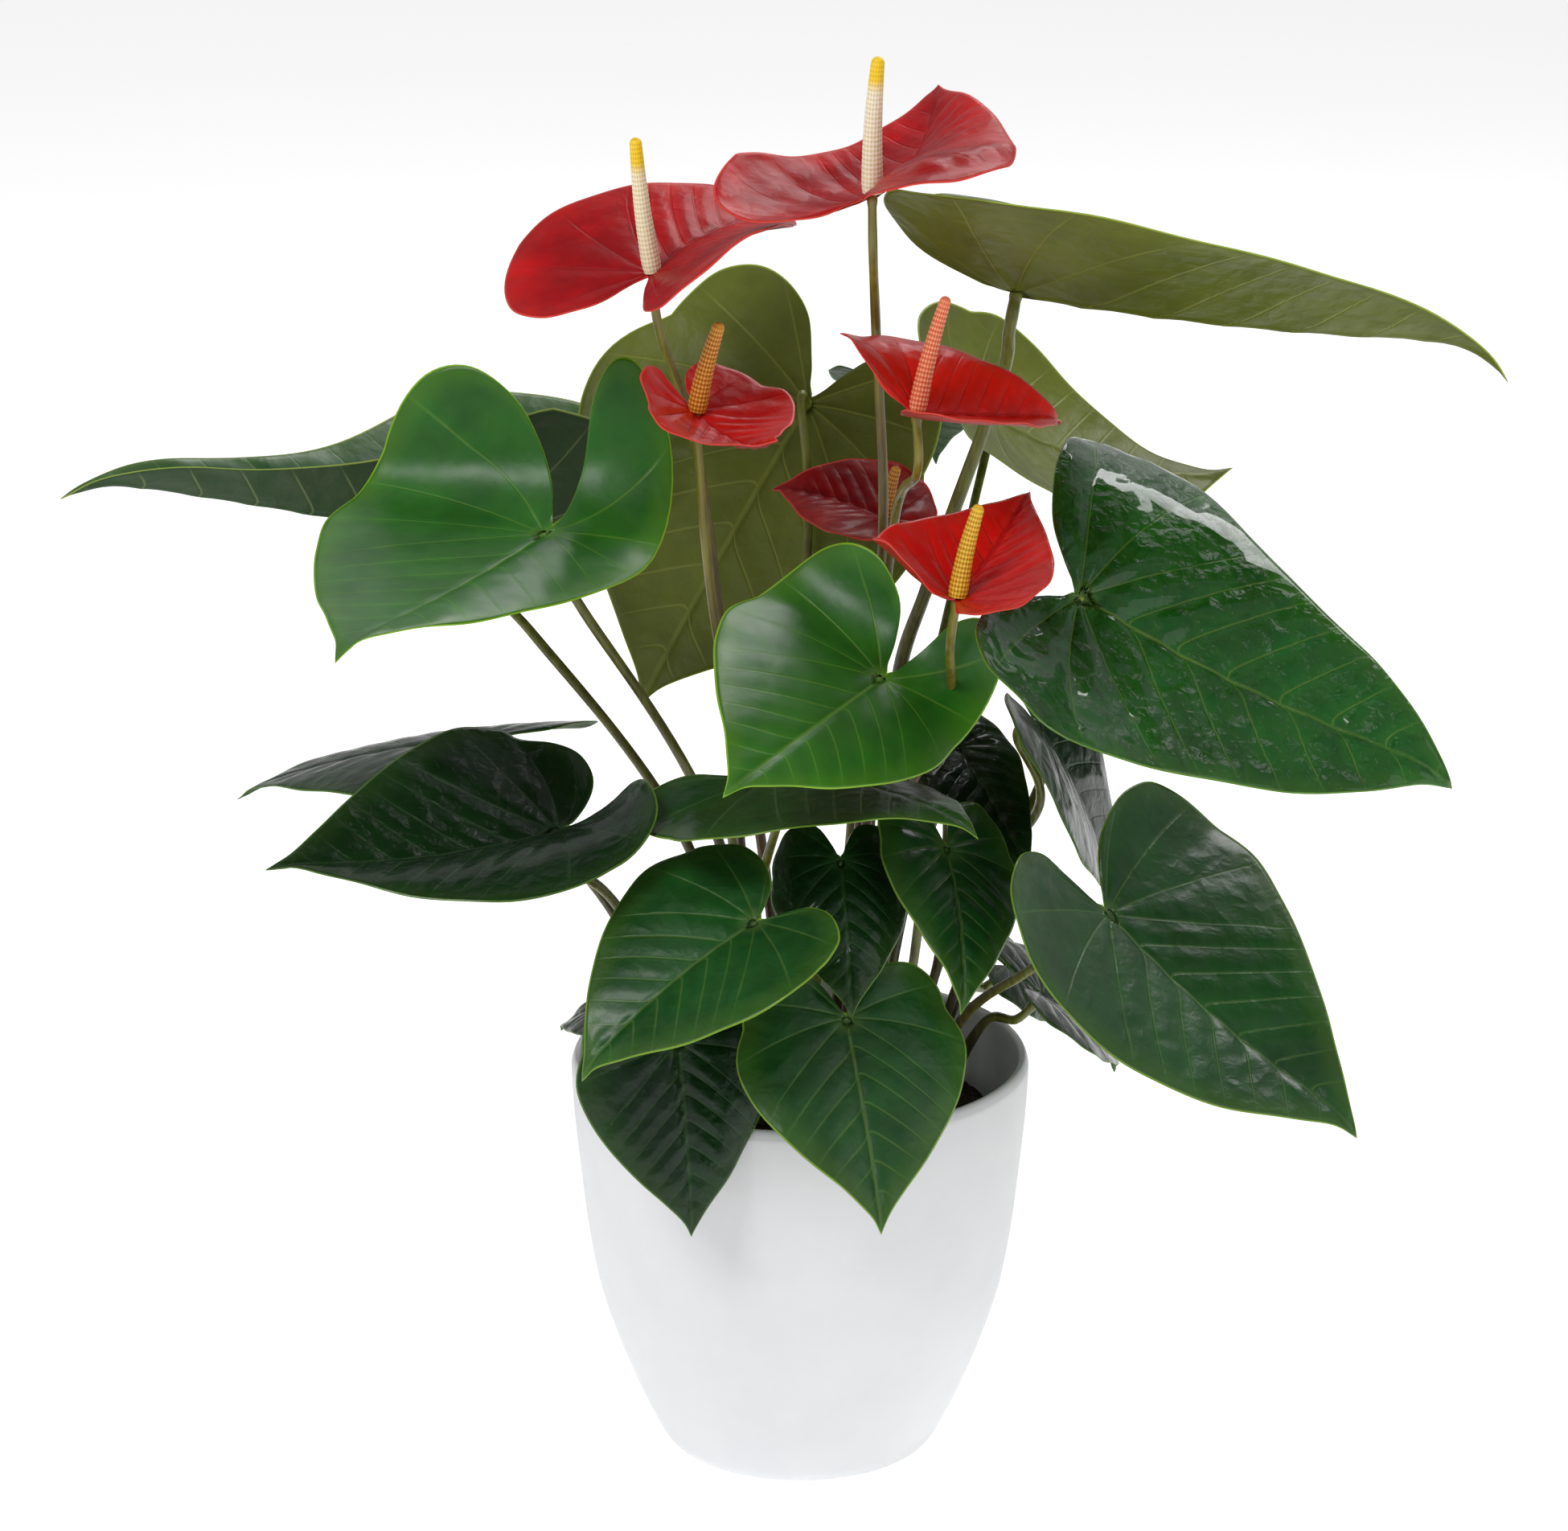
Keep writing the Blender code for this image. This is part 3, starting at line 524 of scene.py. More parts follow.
def stemMaterial(name, look):
    # fine lengthwise streaks, browner towards the soil, a greener neck under the blade
    material, tree, shader = plainMaterial(name)
    share = readValue(tree, "share")
    streak = step(tree, grain(tree, 260.0, 3.0, 0.6, (1, 1, 0.12)), 0.3, 0.7)
    blotch = step(tree, grain(tree, 45.0, 4.0, 0.6), 0.35, 0.7)
    low = blendColor(tree, streak, toLinear(look["lowDark"]), toLinear(look["low"]))
    high = blendColor(tree, streak, toLinear(look["highDark"]), toLinear(look["high"]))
    tone = blendColor(tree, step(tree, share, look["change"] - 0.3, look["change"] + 0.3), low, high)
    tone = blendColor(tree, calc(tree, "MULTIPLY", blotch, 0.3), tone, toLinear(look["lowDark"]))
    tone = blendColor(tree, step(tree, share, 0.965, 1.0, 0.0, 0.8), tone, toLinear(look["neck"]))
    tree.links.new(tone, shader.inputs["Base Color"])
    tree.links.new(step(tree, streak, 0.0, 1.0, 0.34, 0.46), shader.inputs["Roughness"])
    shader.inputs["Coat Weight"].default_value = 0.25
    shader.inputs["Coat Roughness"].default_value = 0.2
    addBump(tree, shader, streak, 0.00025)
    return material


stemLooks = {
    "petiole": {"high": "7f8626", "highDark": "5f661c",
                "low": "5f5a20", "lowDark": "413818", "neck": "8ba03c",
                "change": 0.45, "radius": 1.9},
    "stalk": {"high": "8a8420", "highDark": "6c661a", "low": "5e3f18", "lowDark": "3c2410", "neck": "8a5a22",
              "change": 0.5, "radius": 1.9},
}
petioleMaterial = stemMaterial("petioleSkin", stemLooks["petiole"])
stalkMaterial = stemMaterial("stalkSkin", stemLooks["stalk"])


def makeStem(name, blade, look, material, clear, hook=14, bodyCount=72):
    # a slim taper with a swollen foot, and a slightly thicker neck where it joins the blade
    path = stemPath(blade, clear, hook, bodyCount)
    share = np.linspace(0, 1, bodyCount)
    length = np.linalg.norm(np.diff(path, axis=0), axis=1).sum() * 1000
    left = (1 - share) * length
    radius = blade.get("thick", look["radius"]) * (1.13 - 0.25 * share) + 0.9 * np.exp(-share * length / 9)
    radius = radius + 0.45 * np.exp(-((left - 7) / 6) ** 2)
    angle = np.arange(14) * 2 * math.pi / 14
    groove = 1 - 0.06 * np.clip(np.cos(angle), 0, 1)[None] ** 3
    wobble = 1 + 0.03 * np.sin(share * 31 + len(name))[:, None]
    return makeTube(name, path, radius[:, None] * groove * wobble * mm, 14, {"share": share}, material)


def spadixMaterial(name, look):
    # beads paler than the gaps between them: the gap colours are painted shade in the grooves between the
    # beads, the pale bead tops their own colour; the colour at the tip takes over past one height
    material, tree, shader = plainMaterial(name)
    share = readValue(tree, "share")
    bead = readValue(tree, "bead")
    tip = step(tree, calc(tree, "ADD", share, calc(tree, "MULTIPLY", grain(tree, 300.0), 0.06)),
               look["tipFrom"] - 0.04, look["tipFrom"] + 0.08)
    # the gap colour is painted shade in the grooves between the beads
    body = blendColor(tree, step(tree, bead, 0.1, 0.75), toLinear(look["gap"]), toLinear(look["body"]))
    body = blendColor(tree, step(tree, bead, 0.72, 0.98), body, toLinear(look["bead"]))
    # tipGap is painted shade in the grooves between the beads near the tip
    cap = blendColor(tree, step(tree, bead, 0.1, 0.7), toLinear(look["tipGap"]), toLinear(look["tip"]))
    tree.links.new(blendColor(tree, tip, body, cap), shader.inputs["Base Color"])
    tree.links.new(step(tree, bead, 0.2, 0.9, 0.62, 0.4), shader.inputs["Roughness"])
    shader.inputs["Subsurface Weight"].default_value = 0.15
    shader.inputs["Subsurface Radius"].default_value = (0.6, 0.35, 0.15)
    shader.inputs["Subsurface Scale"].default_value = 0.003
    addBump(tree, shader, grain(tree, 700.0, 2.0), 0.0001)
    return material


# gap and tipGap are painted shade in the grooves between the beads
spadixLooks = {
    "1": {"body": "f3e6c6", "gap": "d8bf8c", "bead": "fff4dc",
          "tip": "f7d117", "tipGap": "e0a90c", "tipFrom": 0.78},
    "2": {"body": "f5ead0", "gap": "dcc596", "bead": "fff6e2",
          "tip": "f8d31c", "tipGap": "e3ae10", "tipFrom": 0.80},
    "3": {"body": "dd8f1e", "gap": "9c5a0c", "bead": "ffd978",
          "tip": "e8a63a", "tipGap": "b4701a", "tipFrom": 0.92},
    "4": {"body": "ec7f55", "gap": "c4512e", "bead": "ffc9a0",
          "tip": "ee8a62", "tipGap": "cc5a38", "tipFrom": 0.92},
    # spadix 5 sits at the back: its yellow is painted darker and browner, as painted shade
    "5": {"body": "c07a12", "gap": "7c4408", "bead": "e0a53a",
          "tip": "c88a20", "tipGap": "8a5010", "tipFrom": 0.92},
    "6": {"body": "e6b413", "gap": "a87408", "bead": "fbe27a",
          "tip": "efc733", "tipGap": "c09012", "tipFrom": 0.92},
}


def makeSpadix(name, flower, material):
    # a bowed, tapering finger, beaded where two sets of spirals cross, with a rounded end
    start = np.array(flower["base"]) * mm
    end = np.array(flower["finger"]) * mm
    way = (end - start) / np.linalg.norm(end - start)
    up = seatBlade(flower)[3] @ np.array([0.0, 0.0, 1.0])
    first = start + way * 0.0006 / max(abs(way @ up), 0.3)
    length = np.linalg.norm(end - first)
    rows, sides = 210, 96
    share = np.linspace(0, 1, rows)
    share = np.where(share > 0.9, 1 - (1 - share) ** 1.5 / 0.1**0.5, share)
    path = first + np.outer(share, end - first)
    path = path + np.outer(np.sin(math.pi * share) * 0.0008, np.cross(way, (0, 1, 0)))
    girth = flower["girth"] * mm
    dome = np.sqrt(np.clip(1 - ((share * length - (length - girth * 0.62)) / (girth * 0.62)) ** 2, 0.0004, 1))
    dome = np.where(share * length > length - girth * 0.62, dome, 1)
    taper = (1 - 0.40 * share**1.3) * (0.9 + 0.1 * np.clip(share * 14, 0, 1)) * dome
    angle = np.arange(sides) * 2 * math.pi / sides
    climb = share[:, None] * length * 1000 * 2 * math.pi / 1.75
    spirals = np.cos(8 * angle[None] + climb / 2) * np.cos(8 * angle[None] - climb / 2)
    bead = np.clip(0.5 + 0.5 * spirals, 0, 1) ** 0.8
    radius = (girth * taper)[:, None] * (1 + flower.get("beads", 0.11) * (bead - 0.6))
    return makeTube(name, path, radius, sides, {"share": share, "bead": bead}, material)


# the pot: its outer wall, rim, inner wall and floor are one turned profile, in millimetres

potProfile = [
    (0, 0), (47, 0), (51.8, 1.6), (55, 5), (57.2, 9), (63.4, 22), (72.2, 44), (79.5, 67),
    (83.9, 91), (86.8, 116), (89, 138), (90, 156), (89.6, 160.5), (88.2, 163),
    (86.6, 162.4), (86, 160), (86, 152), (85, 138), (82.8, 116), (79.9, 91), (75.5, 67),
    (68.2, 44), (59.4, 22), (53.5, 11), (46, 6), (0, 6),
]


def makeTurned(name, profile, sides, material, shape=None):
    # the profile goes once round the axis; its two ends close on the axis
    profile = np.asarray(profile, float)
    angle = np.arange(sides) * 2 * math.pi / sides
    radius = np.broadcast_to(profile[1:-1, 0][:, None], (len(profile) - 2, sides)).copy()
    height = np.broadcast_to(profile[1:-1, 1][:, None], radius.shape).copy()
    if shape:
        radius, height = shape(radius, height, angle[None])
    points = np.stack([radius * np.cos(angle), radius * np.sin(angle), height], -1).reshape(-1, 3) * mm
    points = np.concatenate([points, [[0, 0, profile[0, 1] * mm]], [[0, 0, height[-1].mean() * mm]]])
    quads, fans = joinRings(len(profile) - 2, sides)
    return makeMesh(name, points, quads, fans, {}, material)


def potMaterial():
    # smooth matt glaze with faint mottling, a fine tooth and slight turning marks
    material, tree, shader = plainMaterial("potGlaze")
    mottle = step(tree, grain(tree, 30.0, 5.0, 0.6), 0.3, 0.7)
    tone = blendColor(tree, mottle, toLinear("dddfe1"), toLinear("e1e2e4"))
    tree.links.new(tone, shader.inputs["Base Color"])
    tree.links.new(step(tree, grain(tree, 90.0, 4.0), 0.3, 0.7, 0.44, 0.54), shader.inputs["Roughness"])
    shader.inputs["Coat Weight"].default_value = 0.12
    shader.inputs["Coat Roughness"].default_value = 0.35
    turning = grain(tree, 160.0, 2.0, 0.5, (0.02, 0.02, 1))
    turned = calc(tree, "MULTIPLY", turning, 0.5)
    tooth = calc(tree, "ADD", turned, calc(tree, "MULTIPLY", grain(tree, 1400.0, 2.0), 0.3))
    addBump(tree, shader, tooth, 0.00012)
    return material


def fineProfile(profile, corners, perStretch=7):
    # smooth between the named corners, so that the foot's and the floor's edges stay where they are
    pieces = []
    for start, end in zip(corners[:-1], corners[1:]):
        knots = profile[start:end + 1]
        count = max(2, (len(knots) - 1) * perStretch + 1)
        stretch = smoothCurve(knots, count) if len(knots) > 2 else np.linspace(knots[0], knots[1], 10)
        pieces.append(stretch if start == corners[0] else stretch[1:])
    return np.concatenate(pieces)


pot = {"sides": 180, "corners": [0, 1, len(potProfile) - 2, len(potProfile) - 1]}
potPiece = makeTurned("pot_body", fineProfile(potProfile, pot["corners"]), pot["sides"], potMaterial())
place(potPiece, "pot", "pot")
print("pot done")

# the soil

soil = {
    "top": 139, "sides": 200, "lump": 2.2,
    "side": [(0, 6.4), (44, 6.4), (51, 22), (59, 44), (66, 67), (70, 91), (73.5, 116), (76.0, 131)],
    "rounding": [(75.5, 135), (73.5, 138)],
}


def soilMaterial():
    # dark peat: crumbs with darker gaps, the near-black gaps painted shade between the crumbs, and a few
    # paler flecks
    material, tree, shader = plainMaterial("pottingSoil")
    crumb = cells(tree, 420.0, "F1")
    # the near-black colour between the crumbs is painted shade in the gaps
    tone = blendColor(tree, step(tree, crumb, 0.1, 0.7), toLinear("3a2d24"), toLinear("0f0b09"))
    tone = blendColor(tree, step(tree, grain(tree, 260.0, 4.0, 0.7), 0.66, 0.74), tone, toLinear("6a5440"))
    tree.links.new(tone, shader.inputs["Base Color"])
    shader.inputs["Roughness"].default_value = 0.92
    shader.inputs["Specular IOR Level"].default_value = 0.2
    height = calc(tree, "SUBTRACT", grain(tree, 500.0, 4.0, 0.7), crumb)
    addBump(tree, shader, height, 0.0012)
    return material


def roughenSoil(radius, height, angle):
    # the edge wanders in and out, and clods push the surface up and down
    radius = radius * (1 + (0.012 * np.sin(5 * angle + 1) + 0.01 * np.sin(11 * angle)) * (height > 108))
    flat = np.stack([radius * np.cos(angle), radius * np.sin(angle), height], -1).reshape(-1, 3)
    rough = ripples(flat, 14, 5).reshape(radius.shape) + 0.5 * ripples(flat, 5, 8).reshape(radius.shape)
    high = np.clip((height - 120) / 15, 0, 1)
    return radius * (1 + 0.006 * rough * high), height + soil["lump"] * 0.45 * rough * high


rings = np.linspace(72, 1.5, 44)
soilSide = smoothCurve(soil["side"][1:], 40)
soilTop = [(r, soil["top"]) for r in rings]
soilProfile = np.concatenate([[(0, 6.4)], soilSide, soil["rounding"], soilTop, [(0, soil["top"])]])
soilPiece = makeTurned("soil_bed", soilProfile, soil["sides"], soilMaterial(), roughenSoil)
place(soilPiece, "soil", "soil")
print("soil done")

bractThick = 0.9 * mm
leafThick = 0.8 * mm
stemGap = 0.2 * mm  # from a stem's end to the middle of its blade
stalkHook = 22  # millimetres of stalk that arrive square to the spathe

# flowers. Positions are in millimetres from the centre of the pot's base, turns in degrees.
# base: where stalk, spathe and spadix meet. tip: the spathe's point. finger: the spadix's tip

flowers = {
    "1": {  # top left
        "base": (-55, -33, 483), "tip": (-3, 41, 487), "roll": -10, "root": (-13, -3),
        "width": 1.41, "lobe": 1.12, "full": -0.1, "fold": (26, 17), "cup": (0.26, 0.05),
        "arch": 31, "twist": 30, "curl": 9, "lift": (0, -0.34), "finger": (-61, -38, 535), "girth": 3.6,
        "quilt": 0.9, "beads": 0.06,
        "toward": (0.1, 0.05, -1), "via": [(-24, -7, 260), (-31, -15, 345), (-40, -23, 415)],
    },
    "2": {  # top, centre
        "base": (26, -49, 516), "tip": (52, 36, 541), "roll": -43, "root": (16, -12),
        "width": 1.48, "lobe": 1.29, "full": -0.14, "fold": (15, 10), "cup": (-0.96, 0.93),
        "arch": -37, "twist": 12, "curl": 7, "lift": (0.05, -0.43), "finger": (28, -54, 568), "girth": 4.0,
        "quilt": 0.9, "beads": 0.06,
        "bubbles": [(-0.22, -0.44, 0.075, 2.2), (-0.10, -0.52, 0.07, 2.4), (0.03, -0.56, 0.065, 2.2),
                    (0.14, -0.55, 0.06, 1.8)],  # along, across, size in the unit blade; height in mm
        "toward": (0.02, 0.05, -1), "via": [(25, -16, 300), (31, -28, 384), (28, -36, 459)],
    },
    "3": {  # middle left
        "base": (-39, -41, 432), "tip": (-9, -81, 432), "roll": 11, "root": (-2, -18),
        "width": 1.3, "lobe": 1.14, "full": 0.3, "fold": (-8, 31), "cup": (-0.2, -0.1),
        "arch": -65, "twist": 15, "curl": 0, "lift": (-0.2, 0.26), "finger": (-30, -45, 467), "girth": 3.7,
        "toward": (0.05, 0, -1), "via": [(-16, -13, 260), (-32, -36, 347)],
    },
    "4": {  # middle right
        "base": (42, -80, 441), "tip": (97, -33, 425), "roll": 44, "root": (22, -20),
        "width": 1.35, "lobe": 0.91, "full": 0.06, "fold": (21, 48), "cup": (1.0, -0.1),
        "arch": -5, "twist": 0, "curl": 55, "lift": (0.44, 0.34), "finger": (53, -76, 484), "girth": 3.4,
        "toward": (0.02, 0, -1), "via": [(26, -26, 280), (35, -40, 389)],
    },
    "5": {  # small, back
        "base": (33, 12, 376), "tip": (-11, 29, 384), "roll": -7, "root": (14, 9),
        "width": 1.34, "lobe": 0.89, "full": 0.1, "fold": (14, 19), "cup": (0.18, 0.12),
        "arch": 19, "twist": -25, "curl": 9, "lift": (0.27, -0.23), "finger": (37, 9, 398), "girth": 3.0,
        "toward": (-0.1, 0, -1), "via": [(28, 18, 256)],
    },
    "6": {  # lower right
        "base": (57, -98, 376), "tip": (86, -38, 401), "roll": 9, "root": (19, -28),
        "width": 1.14, "lobe": 1.08, "full": 0, "fold": (25, 18), "cup": (-0.15, -0.2),
        "arch": -25, "twist": -4, "curl": 17, "lift": (1.0, 0.2), "finger": (65, -96, 411), "girth": 3.6,
        "toward": (-0.1, 0.4, -1), "via": [(39, -27, 266), (55, -56, 318)],
    },
}
bractLook = {
    "vein": "8c0a10", "margin": "d8463a", "veinShow": 0.35, "quiltScale": 75, "quiltDepth": 0.5,
    "underRoughness": 0.45, "coatRoughness": 0.12, "coatBend": 1.3, "bump": 0.0007,
}
spatheLooks = {
    "1": {"light": "c60c12", "deep": "8c0810", "under": "7c2018",
          "roughness": 0.45, "coat": 0.15, "specular": 0.1},
    "2": {"light": "c60a12", "deep": "8a0810", "under": "802018",
          "roughness": 0.45, "coat": 0.17, "specular": 0.1},
    "3": {"light": "dc140c", "deep": "b00c0a", "under": "90261a",
          "roughness": 0.42, "coat": 0.25, "specular": 0.2},
    "4": {"light": "e21810", "deep": "bc0e0c", "under": "94261c",
          "roughness": 0.42, "coat": 0.2, "specular": 0.2},
    # spathe 5 sits at the back: its red is painted darker than the rest, as painted shade
    "5": {"light": "b00c12", "deep": "6c060c", "under": "701814",
          "roughness": 0.42, "coat": 0.2, "specular": 0.15},
    "6": {"light": "e6180f", "deep": "c00e0c", "under": "98281c",
          "roughness": 0.4, "coat": 0.3, "specular": 0.2},
}
for number, flower in flowers.items():
    skin = skinMaterial("bractRed" + number, {**bractLook, **spatheLooks[number]})
    flower.setdefault("quilt", 0.8)
    spathe = makeBlade("bract_" + number, flower, bractThick, skin)
    place(spathe, "spathe_red", "spathe_" + number)
    beads = spadixMaterial("fingerSkin" + number, spadixLooks[number])
    spadix = makeSpadix("finger_" + number, flower, beads)
    place(spadix, "spadix_cream" if number in "12" else "spadix_orange", "spadix_" + number)
    stalk = makeStem("stalk_" + number, flower, stemLooks["stalk"], stalkMaterial, stemGap, stalkHook)
    place(stalk, "flower_stalk", "flower_stalk_" + number)
print("flowers done")

# leaves, in the same terms. root: the petiole's place in the crown. via: points it passes

leaves = {
    "leaf_01": {  # bright, front left
        "look": "fresh", "quilt": 0.35,
        "base": (-96, -38, 384), "tip": (-164, -189, 379), "roll": 7, "root": (-14, -16),
        "width": 1.0, "lobe": 1.35, "full": 0, "halves": (0.55, 1.08), "fold": (-15, 12),
        "cup": (0.6, 0.05), "arch": -8, "back": 300, "twist": 3, "curl": 25,
        "via": [(-32, -33, 263), (-82, -50, 358)],
    },
    "leaf_02": {  # bright, front centre
        "look": "fresh", "quilt": 0.35,
        "base": (30, -74, 338), "tip": (-28, -170, 323), "roll": -25, "root": (6, -19),
        "width": 1.02, "lobe": 1.12, "full": 0.13, "halves": (0.72, 1.1), "fold": (-3, 8),
        "cup": (0.64, 0.28), "arch": 1, "back": 290, "twist": -6, "curl": 15,
        "via": [(-18, -33, 224), (-24, -47, 290)],
    },
    "leaf_03": {  # large and glossy, right
        "look": "glossy", "quilt": 1.7,
        "base": (104, -64, 367), "tip": (242, -93, 301), "roll": 33, "root": (30, -10),
        "width": 1.5, "lobe": 0.6, "full": -0.35, "fold": (14, 7), "cup": (0.8, -0.5),
        "arch": -25, "twist": 24, "curl": 48, "lift": (0.16, -0.16), 
        "via": [(54, 4, 198), (58, 20, 265), (59, 3, 328)],
    },
    "leaf_04": {  # lower right
        "look": "deep", "quilt": 0.8,
        "base": (117, -58, 240), "tip": (209, -110, 169), "roll": -2, "root": (42, -8),
        "width": 1.27, "lobe": 0.8, "full": 0, "fold": (22, 0), "cup": (0.1, -0.1),
        "arch": -20, "twist": 27, "curl": 32, "lift": (0.7, 0.28), "via": [(63, -16, 182), (88, -36, 209)],
    },
    "leaf_05": {  # lower front, left
        "look": "middling", "quilt": 0.5,
        "base": (-17, -114, 256), "tip": (-81, -145, 205), "roll": -15, "root": (-8, -31),
        "width": 1.11, "lobe": 0.67, "full": 0.19, "fold": (8, 18), "cup": (0, 0.3),
        "arch": 25, "back": 70, "twist": -8, "curl": 22, "via": [(-12, -58, 205)],
    },
    "leaf_06": {  # lower front, centre, over the rim
        "look": "middling", "quilt": 0.45,
        "base": (17, -103, 214), "tip": (30, -147, 145), "roll": 0, "root": (30, -37),
        "width": 1.05, "lobe": 0.7, "full": 0.3, "fold": (9, 9), "cup": (0.4, 0.5),
        "arch": 10, "back": 60, "twist": -5, "curl": 14, "via": [(27, -56, 185)],
    },
    "leaf_07": {  # dark, over the rim at the left
        "look": "dark", "quilt": 0.9,
        "base": (-46, -97, 202), "tip": (-41, -108, 128), "roll": 4, "root": (-24, -30),
        "width": 1.08, "lobe": 1.0, "full": 0.24, "fold": (2, 5), "cup": (0.5, 0.5),
        "arch": 9, "twist": -3, "curl": 0, "via": [(-36, -58, 184)],
    },
    "leaf_08": {  # dark, middle left
        "look": "dark", "quilt": 0.5,
        "base": (-92, -57, 273), "tip": (-199, -99, 272), "roll": 8, "root": (-25, -19),
        "width": 1.11, "lobe": 0.91, "full": 0.18, "fold": (5, 34), "cup": (0.36, -0.07),
        "arch": -19, "back": 180, "twist": -16, "curl": 17, "via": [(-68, -37, 232)],
    },
    "leaf_10": {  # far left, its underside showing
        "look": "grey", "quilt": 0.5,
        "base": (-129, 48, 359), "tip": (-280, -22, 394), "roll": 4, "root": (-20, 2),
        "width": 1.0, "lobe": 1.1, "full": -0.5, "fold": (54, 55), "cup": (0, 0.4),
        "arch": 1, "twist": 0, "curl": 38, "lift": (0, 0.5), "via": [(-43, -10, 250), (-104, 20, 328)],
    },
    "leaf_11": {  # olive, back, seen from underneath; its olive tint is partly painted light shining through the leaf
        "look": "olive", "quilt": 0.7,
        "base": (3, 63, 409), "tip": (-63, 65, 286), "roll": 107, "root": (-2, 6),
        "width": 1.08, "lobe": 0.78, "full": 0.5, "halves": (1, 0.8), "fold": (3, 4), "cup": (-0.3, 0.5),
        "arch": -17, "twist": -16, "curl": -20, "lift": (-0.55, 0.15), "via": [(-2, 16, 256), (3, 44, 368)],
    },
    "leaf_12": {  # long, upper right, its underside showing
        "look": "olive", "quilt": 0.6, "thick": 2.7,
        "base": (81, -12, 471), "tip": (263, -46, 445), "roll": -17, "root": (28, 10),
        "width": 1.07, "lobe": 0.85, "full": 0, "fold": (30, 26), "cup": (0.18, 0.32),
        "arch": -10, "back": 60, "twist": -6, "curl": 60,
        "via": [(36, 26, 290), (50, 14, 352), (75, -6, 433)],
    },
    "leaf_13": {  # olive, behind the middle right flower
        "look": "olive", "quilt": 0.5,
        "base": (77, 104, 393), "tip": (178, 161, 357), "roll": -160, "root": (26, 22),
        "width": 1.05, "lobe": 0.8, "full": 0.25, "fold": (12, 6), "cup": (0.5, 1.0),
        "arch": 30, "twist": -7, "curl": 19, "via": [(45, 30, 270)], "toward": (-0.2, -0.2, -1),
    },
    "leaf_14": {  # dark, quilted, middle right
        "look": "dark", "quilt": 1.3,
        "base": (61, 6, 286), "tip": (88, -50, 250), "roll": 2, "root": (26, -8),
        "width": 0.95, "halves": (0.72, 1), "lobe": 0.9, "full": 0, "fold": (8, 11), "cup": (0.56, 0.42),
        "arch": 14, "twist": 0, "curl": 6, "via": [(41, 4, 222)],
    },
    "leaf_15": {  # seen along its edge, right
        "look": "dark", "quilt": 0.5,
        "base": (91, -16, 302), "tip": (121, 21, 214), "roll": 51, "root": (36, 8),
        "width": 1.0, "lobe": 1.0, "full": 0.2, "fold": (17, 13), "cup": (0.35, 0.4),
        "arch": 26, "twist": 13, "curl": 7, "hook": 9, "via": [(64, 21, 216), (93, 6, 262)],
    },
    "leaf_16": {  # middle, pointing right
        "look": "deep", "quilt": 0.5,
        "base": (-9, -58, 295), "tip": (65, -129, 294), "roll": -7, "root": (-7, -6),
        "width": 1.24, "lobe": 0.78, "full": 0.17, "halves": (0.75, 1.05), "fold": (8, -14),
        "cup": (0.6, 0.1), "arch": 22, "back": 120, "twist": -8, "curl": 20,
        "via": [(-17, -19, 221)],
    },
    "leaf_17": {  # lower middle, hanging
        "look": "deep", "quilt": 0.8,
        "base": (55, -64, 268), "tip": (60, -105, 216), "roll": -27, "root": (30, -26),
        "width": 0.96, "lobe": 1.0, "full": 0.17, "fold": (12, 13), "cup": (0.45, 0.6),
        "arch": 26, "twist": -5, "curl": 12, "via": [(42, -41, 205)],
    },
    "leaf_18": {  # dark and glossy, lower middle
        "look": "dark", "quilt": 0.9,
        "base": (15, -76, 267), "tip": (19, -109, 216), "roll": 3, "root": (4, -27),
        "width": 1.0, "lobe": 0.91, "full": 0.18, "fold": (-10, -4), "cup": (0.8, 0.8),
        "arch": 30, "twist": 7, "curl": 10, "via": [(6, -38, 205)],
    },
}
